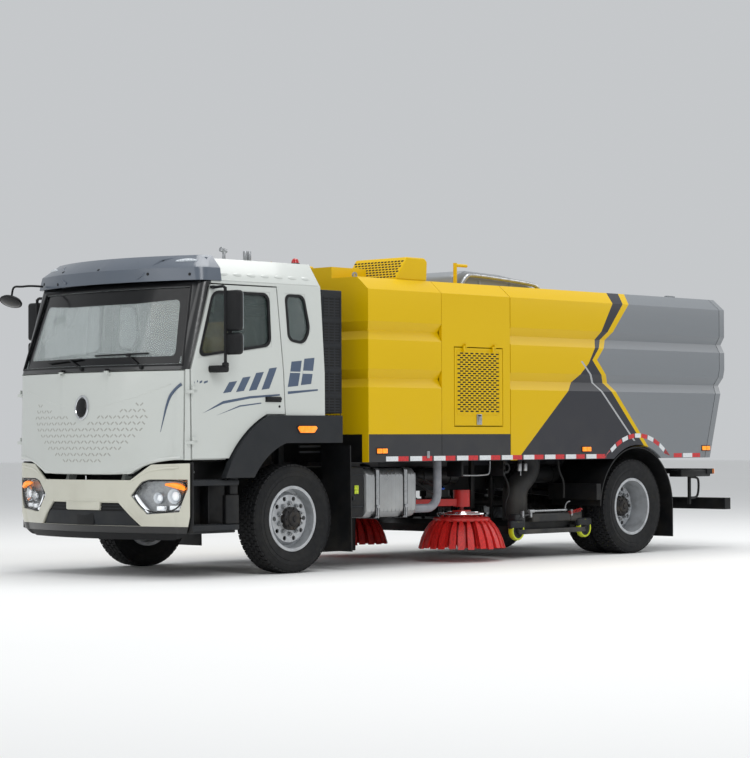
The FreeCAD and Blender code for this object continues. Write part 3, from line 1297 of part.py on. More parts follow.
def make_nozzle():
    x_front = front_axle + s.nozzle_front_x
    x_rear = front_axle + s.nozzle_rear_x
    half = s.nozzle_half_width
    pan = prism("nozzle_pan", "XZ", (
        (x_front, s.nozzle_bottom), (x_front, s.nozzle_top - 50), (x_front - 90, s.nozzle_top),
        (x_rear + 90, s.nozzle_top), (x_rear, s.nozzle_top - 50), (x_rear, s.nozzle_bottom),
    ), -half, half)
    mouth = block("nozzle_mouth", (x_rear + 30, x_front - 30), (-half + 30, half - 30),
                  (s.nozzle_bottom - 1, s.nozzle_top - 70))
    extras = []
    bores = [mouth]
    wheels = []
    for side in (1, -1):
        neck_r = s.duct_radius - s.duct_wall - s.running_gap
        extras.append(rod(f"neck_{side}", "z", (front_axle + s.duct_x, side * s.duct_y, s.nozzle_top - 5), neck_r, 230))
        bores.append(rod(f"neck_bore_{side}", "z", (front_axle + s.duct_x, side * s.duct_y, s.nozzle_top - 80),
                         neck_r - 6, 320))
        for index, along in enumerate((220, 690)):
            extras.append(rod(f"guide_post_{side}_{index}", "z",
                              (x_front - along, side * (s.rail_outer_y + 60), s.nozzle_top - 5), 20, 480))
        for index, x in enumerate((x_front + 93, x_rear - 92)):
            inner = (s.caster_y - 42, s.caster_y - 30)
            inner = inner if side > 0 else (-inner[1], -inner[0])
            base = (x_front - 100, x + 20) if index == 0 else (x - 20, x_rear + 100)
            y_plate = (half - 5, s.caster_y - 30) if side > 0 else (30 - s.caster_y, 5 - half)
            extras.append(block(f"caster_bar_{side}_{index}", (base[0], base[1]), inner, (270, 330)))
            foot = (x_front - 100, x_front - 60) if index == 0 else (x_rear + 60, x_rear + 100)
            extras.append(block(f"caster_foot_{side}_{index}", foot, y_plate, (270, 330)))
            pin_start = s.caster_y - 32 if side > 0 else -s.caster_y - 28
            extras.append(rod(f"caster_pin_{side}_{index}", "y",
                              (x, pin_start, s.nozzle_bottom + 40), 10, 60))
            start = side * s.caster_y - 25
            rim = rod(f"caster_rim_{side}_{index}", "y", (x, start, s.nozzle_bottom + 40), s.caster_radius, 50)
            eye = rod(f"caster_eye_{side}_{index}", "y", (x, start - 1, s.nozzle_bottom + 40), 10, 52)
            wheels.append(cut(f"caster_{side}_{index}", rim, eye))
    part("suction_nozzle", cut("suction_nozzle", joined("nozzle_solid", pan, *extras), *bores))
    part("nozzle_wheels", together("nozzle_wheels", *wheels))


def tube_along(points, radius, wall):
    """A tube along straight runs joined by tangent arcs; points are (place, bend radius)."""
    edges = []
    here = points[0][0]
    for index in range(1, len(points) - 1):
        corner, bend = points[index]
        into = (corner - points[index - 1][0]).normalize()
        out = (points[index + 1][0] - corner).normalize()
        reach = bend * math.tan(into.getAngle(out) / 2)
        start = corner - into * reach
        end = corner + out * reach
        bulge = (out - into).normalize()
        centre = corner + bulge * (bend / math.cos(into.getAngle(out) / 2))
        middle = centre - bulge * bend
        if (start - here).Length > 0.01:
            edges.append(Part.LineSegment(here, start).toShape())
        edges.append(Part.Arc(start, middle, end).toShape())
        here = end
    edges.append(Part.LineSegment(here, points[-1][0]).toShape())
    path = Part.Wire(edges)
    first = (points[1][0] - points[0][0]).normalize()
    solids = []
    for size in (radius, max(radius - wall, 1)):
        ring = Part.Wire([Part.Circle(points[0][0], first, size).toShape()])
        solids.append(path.makePipeShell([ring], True, False))
    if wall >= radius:
        return solids[0]
    return solids[0].cut(solids[1])


bend_shift = 2 * float(s.duct_bend_radius) * (1 - math.cos(math.radians(float(s.duct_bend))))
slant_shift = float(s.duct_slant) * math.sin(math.radians(float(s.duct_bend)))
duct_top_x = front_axle + s.duct_x - bend_shift - slant_shift
hinge_x = body_rear + s.tailgate_thickness + s.joint_gap + 35
hinge_z = s.body_roof + 40


def make_ducts():
    """Suction ducts from the nozzle's necks to the hopper floor, and the water hose."""
    bend = float(s.duct_bend_radius)
    angle = math.radians(float(s.duct_bend))
    tangent = bend * math.tan(angle / 2)
    x = float(front_axle + s.duct_x)
    low = float(s.nozzle_top) + 15
    first_corner = low + 235 + tangent
    run = float(s.duct_slant) + 2 * tangent
    ducts = []
    for side in (1, -1):
        y = side * float(s.duct_y)
        points = (
            (FreeCAD.Vector(x, y, low), 0),
            (FreeCAD.Vector(x, y, first_corner), bend),
            (FreeCAD.Vector(x - run * math.sin(angle), y, first_corner + run * math.cos(angle)), bend),
            (FreeCAD.Vector(x - run * math.sin(angle), y, float(s.body_bottom) - 6), 0),
        )
        tube = tube_along(points, float(s.duct_radius), float(s.duct_wall))
        stay_low = min(side * float(s.rail_outer_y), side * (float(s.duct_y) - float(s.duct_radius) + 8))
        stay_long = float(s.duct_y) - float(s.duct_radius) + 8 - float(s.rail_outer_y)
        stay = Part.makeBox(50, stay_long, 60, FreeCAD.Vector(float(duct_top_x) - 25, stay_low, 900))
        hollow = Part.makeCylinder(float(s.duct_radius) - 2, 200, FreeCAD.Vector(float(duct_top_x), y, 850))
        ducts.append(tube.fuse(stay.cut(hollow)))
    part("suction_ducts", shaped("suction_ducts", Part.Compound(ducts)))
    x = float(front_axle) - 2034
    hose = tube_along((
        (FreeCAD.Vector(x, 1090, float(s.body_bottom)), 0),
        (FreeCAD.Vector(x, 1090, 560), 150),
        (FreeCAD.Vector(float(front_axle) - 1620, 1090, 560), 0),
    ), 42, 42)
    part("water_hose", shaped("water_hose", hose))


make_wheels()
make_chassis()
make_front_axle()
make_knuckles()
make_rear_axle()
make_springs()
make_engines()
make_side_gear()
make_steps()
make_mudguards()
make_rear_bar()
make_cab()
make_bumper()
make_wheel_arches()
make_cab_inside()
make_visor()
make_mirrors()
make_air_intake()
make_power_pack()
make_fan_housing()
make_hopper()
make_brushes()
make_nozzle()
make_ducts()

doc.recompute()
for thing in doc.Objects:
    if {"Invalid", "Error"} & set(thing.State):
        raise RuntimeError(f"{thing.Name} failed: {thing.State}")
for node, piece in PARTS:
    shape = piece.Shape
    if shape.isNull() or not shape.isValid():
        raise RuntimeError(f"{node} has no valid shape")
os.makedirs("parts", exist_ok=True)
for node, piece in PARTS:
    piece.Shape.exportStep(f"parts/{node}.step")
    print(node, len(piece.Shape.Solids), round(piece.Shape.Volume / 1e6, 1))
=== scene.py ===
"""Looks of a street sweeper truck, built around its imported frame.

X points forward, Y to the truck's left, Z up, all in metres.
"""
import json
import math
import random

import bmesh
import bpy
from bpy.props import FloatProperty, FloatVectorProperty, PointerProperty
from mathutils import Matrix, Vector
from mathutils.bvhtree import BVHTree

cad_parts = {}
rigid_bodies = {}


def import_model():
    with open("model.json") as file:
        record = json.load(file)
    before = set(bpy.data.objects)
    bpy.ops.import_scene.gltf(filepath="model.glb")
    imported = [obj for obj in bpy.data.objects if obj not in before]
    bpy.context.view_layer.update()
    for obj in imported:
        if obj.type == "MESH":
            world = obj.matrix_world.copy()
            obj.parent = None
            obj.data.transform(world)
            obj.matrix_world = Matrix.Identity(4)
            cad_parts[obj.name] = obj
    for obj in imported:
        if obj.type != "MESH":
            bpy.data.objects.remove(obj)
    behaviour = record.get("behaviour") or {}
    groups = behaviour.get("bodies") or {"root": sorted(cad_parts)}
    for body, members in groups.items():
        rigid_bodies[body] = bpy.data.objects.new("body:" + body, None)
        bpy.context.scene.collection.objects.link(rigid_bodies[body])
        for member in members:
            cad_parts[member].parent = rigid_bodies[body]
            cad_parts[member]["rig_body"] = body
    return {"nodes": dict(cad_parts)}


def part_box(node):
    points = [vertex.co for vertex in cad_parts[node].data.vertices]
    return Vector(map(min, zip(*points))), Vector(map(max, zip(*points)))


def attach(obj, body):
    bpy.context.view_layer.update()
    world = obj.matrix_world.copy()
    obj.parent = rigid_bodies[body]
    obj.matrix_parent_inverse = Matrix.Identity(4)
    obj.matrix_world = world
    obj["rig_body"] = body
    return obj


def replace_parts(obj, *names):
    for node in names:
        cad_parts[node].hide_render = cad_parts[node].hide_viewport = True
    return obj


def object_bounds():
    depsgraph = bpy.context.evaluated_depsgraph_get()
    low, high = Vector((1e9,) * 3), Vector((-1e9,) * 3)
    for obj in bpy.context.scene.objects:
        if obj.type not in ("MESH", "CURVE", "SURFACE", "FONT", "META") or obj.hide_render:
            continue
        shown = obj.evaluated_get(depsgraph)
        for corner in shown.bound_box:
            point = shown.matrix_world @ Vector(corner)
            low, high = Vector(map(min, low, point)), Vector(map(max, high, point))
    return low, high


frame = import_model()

bl_info = {
    "name": "Street sweeper truck",
    "version": (1, 0, 0),
    "blender": (4, 5, 0),
    "location": "View3D > Sidebar > Sweeper",
    "description": "Finishes and small parts of a street sweeper truck",
    "category": "Add Mesh",
}

CAD_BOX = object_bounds()
NODES = frame["nodes"]
SIDES = ((1, "left"), (-1, "right"))
UP = Vector((0, 0, 1))
CLEAR_Y = 3  # a place well outside the truck's left side
SHARP = 17  # degrees between faces that a rolled or moulded edge starts at


def middle(node):
    """The middle of a node's box."""
    low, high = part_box(node)
    return (low + high) / 2


FRONT = middle("front_tyre_left")
REAR = middle("rear_tyres_left")
TYRE_RADIUS = FRONT.z
TYRE_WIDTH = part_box("front_tyre_left")[1].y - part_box("front_tyre_left")[0].y
FRONT_Y = FRONT.y
TWIN = 0.311  # between the middles of a rear pair of tyres
REAR_Y = REAR.y + TWIN / 2
RIM_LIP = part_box("front_wheel_left")[1].x - FRONT.x
RIM_HALF = 0.111  # half a rim's width
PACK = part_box("power_pack_housing")
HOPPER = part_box("hopper_body")
BODY_SIDE = HOPPER[1].y
BODY_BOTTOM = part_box("tailgate")[0].z


# ---------------------------------------------------------------- shapes

def linear(code):
    """An sRGB hex colour as linear RGB."""
    parts = [int(code[i:i + 2], 16) / 255 for i in (1, 3, 5)]
    return tuple(c / 12.92 if c <= 0.04045 else ((c + 0.055) / 1.055) ** 2.4 for c in parts)


def filled(part, loops):
    """Faces filling a closed outline, less the outlines inside it."""
    edges = []
    for loop in loops:
        verts = [part.verts.new(place) for place in loop]
        edges += [part.edges.new(pair) for pair in zip(verts, verts[1:] + verts[:1])]
    if len(loops) == 1:
        bmesh.ops.contextual_create(part, geom=edges)
    else:
        bmesh.ops.triangle_fill(part, use_beauty=True, edges=edges)


def rounded(outline, radius, steps=4):
    """An outline with its corners rounded."""
    part = bmesh.new()
    filled(part, [[(a, b, 0) for a, b in outline]])
    bmesh.ops.bevel(part, geom=part.verts[:], offset=radius, segments=steps, profile=0.5,
                    affect="VERTICES", material=-1)
    part.faces.ensure_lookup_table()
    points = [(v.co.x, v.co.y) for v in part.faces[0].verts]
    part.free()
    return points


def drawn_in(outline, gap):
    """An outline drawn in by a gap all round."""
    part = bmesh.new()
    filled(part, [[(a, b, 0) for a, b in outline]])
    bmesh.ops.inset_region(part, faces=part.faces[:], thickness=gap, use_even_offset=True, use_boundary=True)
    inside = next(face for face in part.faces if all(len(edge.link_faces) == 2 for edge in face.edges))
    points = [(v.co.x, v.co.y) for v in inside.verts]
    part.free()
    return points


def rectangle(a0, b0, a1, b1):
    return [(a0, b0), (a1, b0), (a1, b1), (a0, b1)]


def facing(normal, turn=0.0):
    """The turn that points Z along a direction and Y upwards, then turned about Z in degrees."""
    z = Vector(normal).normalized()
    x = UP.cross(z).normalized()
    return Matrix((x, z.cross(x), z)).transposed() @ Matrix.Rotation(math.radians(turn), 3, "Z")


class Piece:
    """One piece in the making."""

    def __init__(self):
        self.bm = bmesh.new()

    def take(self, part, matrix=None):
        """Add a finished shape."""
        if matrix is not None:
            bmesh.ops.transform(part, matrix=matrix, verts=part.verts)
        bmesh.ops.recalc_face_normals(part, faces=part.faces)
        mesh = bpy.data.meshes.new("part")
        part.to_mesh(mesh)
        part.free()
        self.bm.from_mesh(mesh)
        bpy.data.meshes.remove(mesh)

    def block(self, centre, size, bevel=0.0, turn=None, segments=2):
        """A block with rounded edges."""
        part = bmesh.new()
        bmesh.ops.create_cube(part, size=1)
        bmesh.ops.scale(part, vec=Vector(size), verts=part.verts)
        if bevel:
            bmesh.ops.bevel(part, geom=part.edges[:], offset=bevel, segments=segments,
                            profile=0.5, affect="EDGES", material=-1)
        self.take(part, Matrix.Translation(Vector(centre)) @ (turn.to_4x4() if turn else Matrix()))

    def span(self, low, high, bevel=0.0, segments=2):
        """A block between two corners."""
        low, high = Vector(low), Vector(high)
        self.block((low + high) / 2, high - low, bevel, None, segments)

    def bar(self, start, end, radius, sides=16, far_radius=None, bevel=0.0):
        """A round bar between two points."""
        start, end = Vector(start), Vector(end)
        part = bmesh.new()
        bmesh.ops.create_cone(part, cap_ends=True, segments=sides, radius1=radius,
                              radius2=radius if far_radius is None else far_radius,
                              depth=(end - start).length)
        if bevel:
            rims = [edge for edge in part.edges if any(len(face.verts) > 4 for face in edge.link_faces)]
            bmesh.ops.bevel(part, geom=rims, offset=bevel, segments=2, profile=0.5,
                            affect="EDGES", material=-1)
        turn = UP.rotation_difference(end - start).to_matrix().to_4x4()
        self.take(part, Matrix.Translation((start + end) / 2) @ turn)

    def ball(self, centre, radius, scale=(1, 1, 1)):
        """A ball, or an egg where it is scaled."""
        part = bmesh.new()
        bmesh.ops.create_uvsphere(part, u_segments=20, v_segments=12, radius=radius)
        self.take(part, Matrix.Translation(Vector(centre)) @ Matrix.Diagonal((*scale, 1)))

    def turned(self, profile, centre, axis=(0, 1, 0), steps=64):
        """A profile of (along, radius) points spun about an axis; closed if its ends meet."""
        part = bmesh.new()
        verts = [part.verts.new((radius, 0, along)) for along, radius in profile]
        edges = [part.edges.new(pair) for pair in zip(verts, verts[1:])]
        bmesh.ops.spin(part, geom=verts + edges, cent=(0, 0, 0), axis=(0, 0, 1), angle=2 * math.pi,
                       steps=steps, use_merge=True)
        bmesh.ops.remove_doubles(part, verts=part.verts, dist=1e-6)
        turn = UP.rotation_difference(Vector(axis)).to_matrix().to_4x4()
        self.take(part, Matrix.Translation(Vector(centre)) @ turn)

    def plate(self, outline, low, high, axis="y", bevel=0.0, hole=None, matrix=None):
        """A flat outline drawn out along an axis; outline is in the other two, in order."""
        part = bmesh.new()
        places = {
            "x": lambda a, b: (low, a, b),
            "y": lambda a, b: (a, low, b),
            "z": lambda a, b: (a, b, low),
        }
        filled(part, [[places[axis](a, b) for a, b in points] for points in (outline, hole) if points])
        out = bmesh.ops.extrude_face_region(part, geom=part.faces[:])
        way = {"x": (1, 0, 0), "y": (0, 1, 0), "z": (0, 0, 1)}[axis]
        moved = [v for v in out["geom"] if isinstance(v, bmesh.types.BMVert)]
        bmesh.ops.translate(part, vec=Vector(way) * (high - low), verts=moved)
        if bevel:
            bmesh.ops.bevel(part, geom=part.edges[:], offset=bevel, segments=2, profile=0.5,
                            affect="EDGES", material=-1)
        self.take(part, matrix)

    def pipe(self, points, radius, sides=8, closed=False, widths=()):
        """A round tube along points, its corners rounded; widths are shares of its radius."""
        curve = bpy.data.curves.new("route", "CURVE")
        curve.dimensions = "3D"
        curve.bevel_depth = radius
        curve.bevel_resolution = max(1, sides // 4)
        curve.use_fill_caps = not closed
        curve.resolution_u = 6
        spline = curve.splines.new("NURBS")
        spline.points.add(len(points) - 1)
        for point, place in zip(spline.points, points):
            point.co = (*place, 1)
        for point, width in zip(spline.points, widths):
            point.radius = width
        spline.use_cyclic_u = closed
        spline.order_u = 3
        spline.use_endpoint_u = not closed
        route = bpy.data.objects.new("route", curve)
        mesh = bpy.data.meshes.new_from_object(route)
        bpy.data.objects.remove(route)
        bpy.data.curves.remove(curve)
        part = bmesh.new()
        part.from_mesh(mesh)
        bpy.data.meshes.remove(mesh)
        bmesh.ops.remove_doubles(part, verts=part.verts, dist=1e-6)
        self.take(part)

    def copies(self, other, matrices):
        """Another piece's shape at several places."""
        mesh = bpy.data.meshes.new("copy")
        other.bm.to_mesh(mesh)
        for matrix in matrices:
            placed = mesh.copy()
            placed.transform(matrix)
            self.bm.from_mesh(placed)
            bpy.data.meshes.remove(placed)
        bpy.data.meshes.remove(mesh)

    def settle(self, name, body, finish, side=1, smooth=35):
        """The finished object, riding on a body; side -1 puts it on the truck's right."""
        if side < 0:
            bmesh.ops.scale(self.bm, vec=(1, -1, 1), verts=self.bm.verts)
            bmesh.ops.reverse_faces(self.bm, faces=self.bm.faces)
        mesh = bpy.data.meshes.new(name)
        self.bm.to_mesh(mesh)
        self.bm.free()
        for polygon in mesh.polygons:
            polygon.use_smooth = True
        mesh.set_sharp_from_angle(angle=math.radians(smooth))
        mesh.materials.append(finish_named(finish))
        piece = bpy.data.objects.new(name, mesh)
        bpy.context.scene.collection.objects.link(piece)
        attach(piece, body)
        return piece


skins = {}


def skin(*nodes):
    """The surface of some nodes, to lay small parts on."""
    if nodes not in skins:
        part = bmesh.new()
        for node in nodes:
            part.from_mesh(NODES[node].data)
        skins[nodes] = BVHTree.FromBMesh(part)
        part.free()
    return skins[nodes]


def laid(tree, start, way):
    """Where a ray meets a surface, and the surface's direction there."""
    place, normal = tree.ray_cast(Vector(start), Vector(way))[:2]
    if place is None:
        raise RuntimeError(f"nothing to lay a part on from {start}")
    return place, -normal if normal.dot(Vector(way)) > 0 else normal


def ahead(tree, y, z):
    """Where a surface lies at a place across the front."""
    return laid(tree, (CAD_BOX[1][0] + 1, y, z), (-1, 0, 0))


def aside(tree, x, z):
    """Where a surface lies at a place along the truck's left."""
    return laid(tree, (x, CLEAR_Y, z), (0, -1, 0))


def front_line(tree, line, sink=0.0, side=1):
    """Places on a surface along a line across the front, sunk into it."""
    return [ahead(tree, side * y, z)[0] - Vector((sink, 0, 0)) for y, z in line]


def between(start, end, steps):
    """Evenly spaced places from a start to an end."""
    return [[a + (b - a) * step / steps for a, b in zip(start, end)] for step in range(steps + 1)]


def around(count, radius, first=0.0):
    """Evenly spaced places round a circle; first is a share of their spacing."""
    turns = [2 * math.pi * (index + first) / count for index in range(count)]
    return [(radius * math.cos(turn), radius * math.sin(turn)) for turn in turns]


def draped(piece, outline, tree, way, lift, cell=0.04, thick=0.0015, hole=None):
    """A thin film with an outline in Y-Z or X-Z, laid on a surface seen along a way."""
    way = Vector(way).normalized()
    across = Vector((0, 1, 0)) if abs(way.x) > 0.7 else Vector((1, 0, 0))
    part = bmesh.new()
    filled(part, [[across * a + UP * b for a, b in points] for points in (outline, hole) if points])
    for direction, low, high in ((across, min(a for a, b in outline), max(a for a, b in outline)),
                                 (UP, min(b for a, b in outline), max(b for a, b in outline))):
        for index in range(1, int((high - low) / cell) + 1):
            bmesh.ops.bisect_plane(part, geom=part.verts[:] + part.edges[:] + part.faces[:],
                                   plane_co=direction * (low + index * cell), plane_no=direction)
    for vert in part.verts:
        place, normal = laid(tree, vert.co - way * 6, way)
        vert.co = place + normal * lift
    bmesh.ops.recalc_face_normals(part, faces=part.faces)
    if sum((face.normal * face.calc_area() for face in part.faces), Vector()).dot(way) > 0:
        bmesh.ops.reverse_faces(part, faces=part.faces)
    bmesh.ops.solidify(part, geom=part.faces[:], thickness=thick)
    piece.take(part)


def film(piece, outline, tree, thick=0.0008, cell=0.08):
    """A film laid on the truck's left, as far proud as it is thick."""
    draped(piece, outline, tree, (0, -1, 0), thick, cell, thick)


def softened(node, finish, radius):
    """A node again with its edges rounded, standing for it."""
    piece = Piece()
    piece.bm.from_mesh(NODES[node].data)
    bmesh.ops.remove_doubles(piece.bm, verts=piece.bm.verts, dist=1e-5)
    bmesh.ops.dissolve_limit(piece.bm, angle_limit=math.radians(0.6), verts=piece.bm.verts,
                             edges=piece.bm.edges)
    sharp = [edge for edge in piece.bm.edges
             if len(edge.link_faces) == 2 and edge.calc_face_angle() > math.radians(SHARP)]
    bmesh.ops.bevel(piece.bm, geom=sharp, offset=radius, segments=2, profile=0.5, affect="EDGES",
                    material=-1, clamp_overlap=True)
    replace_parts(piece.settle(f"rounded_{node}", NODES[node]["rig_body"], finish, 1, SHARP), node)


# ---------------------------------------------------------------- finishes

def add(tree, kind, inputs=(), out=0, **settings):
    """Add a node with its settings; inputs are values or links, by place or name."""
    node = tree.nodes.new("ShaderNode" + kind)
    for key, value in settings.items():
        setattr(node, key, value)
    for key, value in inputs.items() if isinstance(inputs, dict) else enumerate(inputs):
        if isinstance(value, bpy.types.NodeSocket):
            tree.links.new(value, node.inputs[key])
        else:
            node.inputs[key].default_value = value
    return node.outputs[out]


def clouds(size_mm, low, high, most=1.0, detail=4.0, stretch=(1, 1, 1)):
    """Cloudy patches of about that size, spread from none to most."""
    def cover(tree, place):
        place = add(tree, "Mapping", {"Vector": place, "Scale": stretch})
        value = add(tree, "TexNoise", {"Vector": place, "Scale": 1000 / size_mm, "Detail": detail})
        return add(tree, "MapRange", {"Value": value, "From Min": low, "From Max": high, "To Max": most})
    return cover


def grime(top, most, patch_mm=260):
    """Road dust, heavier low down and broken into patches."""
    def cover(tree, place):
        height = add(tree, "SeparateXYZ", [place], out=2)
        low = add(tree, "MapRange",
                  {"Value": height, "From Min": 0.1, "From Max": top, "To Min": most, "To Max": 0.0})
        return add(tree, "Math", [low, clouds(patch_mm, 0.42, 0.68)(tree, place)], operation="MULTIPLY")
    return cover


def beyond(tree, place, way, distance):
    """1 where a place lies further along a way than a distance."""
    along = add(tree, "VectorMath", [place, way], out="Value", operation="DOT_PRODUCT")
    return add(tree, "Math", [along, distance], operation="GREATER_THAN")


def aft(kink, above, below, pick):
    """Behind a slanted colour edge that bends at its kink; above and below are its slopes."""
    def cover(tree, place):
        x, z = FRONT.x + kink[0], kink[1]
        sides = [beyond(tree, place, (-1, 0, slope), slope * z - x) for slope in (above, below)]
        return add(tree, "Math", sides, operation=pick)
    return cover


def band(way, low, high):
    """Between two distances along a way."""
    def cover(tree, place):
        sides = [beyond(tree, place, way, low), beyond(tree, place, way, high)]
        return add(tree, "Math", sides, operation="SUBTRACT")
    return cover


def within(*covers):
    """Where all the covers are."""
    def cover(tree, place):
        value = covers[0](tree, place)
        for other in covers[1:]:
            value = add(tree, "Math", [value, other(tree, place)], operation="MULTIPLY")
        return value
    return cover


def cells(size_mm, low=0.0, high=1.0):
    """Small cells like a moulded grain or a honeycomb."""
    def cover(tree, place):
        value = add(tree, "TexVoronoi", {"Vector": place, "Scale": 1000 / size_mm})
        return add(tree, "MapRange", {"Value": value, "From Min": low, "From Max": high})
    return cover


def speckle(size_mm, depth_mm):
    """A grain of soft spots of about that size."""
    return clouds(size_mm, 0.3, 0.7), depth_mm


def ribs(pitch_mm, way):
    """Fine parallel ribs across X, Y or Z."""
    def cover(tree, place):
        value = add(tree, "TexWave", {"Vector": place, "Scale": math.pi / 10 * 1000 / pitch_mm},
                    bands_direction=way, out="Fac")
        return add(tree, "MapRange", {"Value": value, "From Min": 0.3, "From Max": 0.8})
    return cover


def tint(code):
    """A hex colour, or a colour of the panel, as linear RGB."""
    return linear(code) if code[0] == "#" else tuple(getattr(bpy.context.scene.sweeper, code))


def surface(name, base, roughness, metallic=0.0, coats=(), grain=None, **shader):
    """A material: base colour, coats of (cover, colour) over it, and a grain of (height, depth in mm).

    Roughness is a number, or (least, most, patch size in mm).
    """
    material = bpy.data.materials.new(name)
    material.use_nodes = True
    tree = material.node_tree
    principled = tree.nodes["Principled BSDF"]
    place = add(tree, "TexCoord", out="Object")
    colour = (*tint(base), 1)
    for cover, over in coats:
        inputs = {0: cover(tree, place), 6: colour, 7: (*tint(over), 1)}
        colour = add(tree, "Mix", inputs, out=2, data_type="RGBA")
    if isinstance(colour, tuple):
        principled.inputs["Base Color"].default_value = colour
    else:
        tree.links.new(colour, principled.inputs["Base Color"])
    if isinstance(roughness, tuple):
        low, high, size_mm = roughness
        value = clouds(size_mm, 0.3, 0.75)(tree, place)
        spread = add(tree, "MapRange", {"Value": value, "To Min": low, "To Max": high})
        tree.links.new(spread, principled.inputs["Roughness"])
    else:
        principled.inputs["Roughness"].default_value = roughness
    principled.inputs["Metallic"].default_value = metallic
    for key, value in shader.items():
        value = (*tint(value), 1) if isinstance(value, str) else value
        principled.inputs[key.replace("_", " ")].default_value = value
    if grain:
        height, depth_mm = grain
        bump = add(tree, "Bump",
                   {"Height": height(tree, place), "Distance": depth_mm / 1000, "Strength": 0.5})
        tree.links.new(bump, principled.inputs["Normal"])
    return material


# the body's colour edges: a kink behind the front axle, then the slopes above and below it
BAND = aft((-4.214, 2.029), -0.638, -1.165, "MAXIMUM")
STRIPE = aft((-4.273, 2.061), -0.863, 0.978, "MINIMUM")
TAIL = aft((-4.352, 2.064), -0.905, 0.958, "MINIMUM")
LEAN = 1.0715  # of the fine pale line in the band, forwards as it rises
LINE_START = FRONT.x - 4.08 - LEAN * 2.057
FINE_LINE = within(band((1, 0, -LEAN), LINE_START - 0.016, LINE_START + 0.016), band(UP, 1.21, 2.045))
LOW_DOWN = band(UP, 0, 1.285)
SKIRT = within(LOW_DOWN, band((1, 0, 0), FRONT.x - 2.938, PACK[1].x - 0.004))
# the body's lower front face behind the cab: its near-black is partly the panel's dark paint and partly
# painted shade of the gap behind the cab
FRONT_GAP_SHADE = within(LOW_DOWN, band((1, 0, 0), PACK[1].x - 0.03, 9), band((0, 1, 0), -1.19, 1.19))
RAKE = 0.343  # of the windscreen pillars, backwards as they rise
PILLARS = within(band((1, 0, RAKE), FRONT.x + 1.32 + RAKE * 1.86, 9), band(UP, 1.864, 2.72))
ORANGE_PEEL = (clouds(11, 0.3, 0.7, detail=1), 0.06)
DUST = "#8A8272"


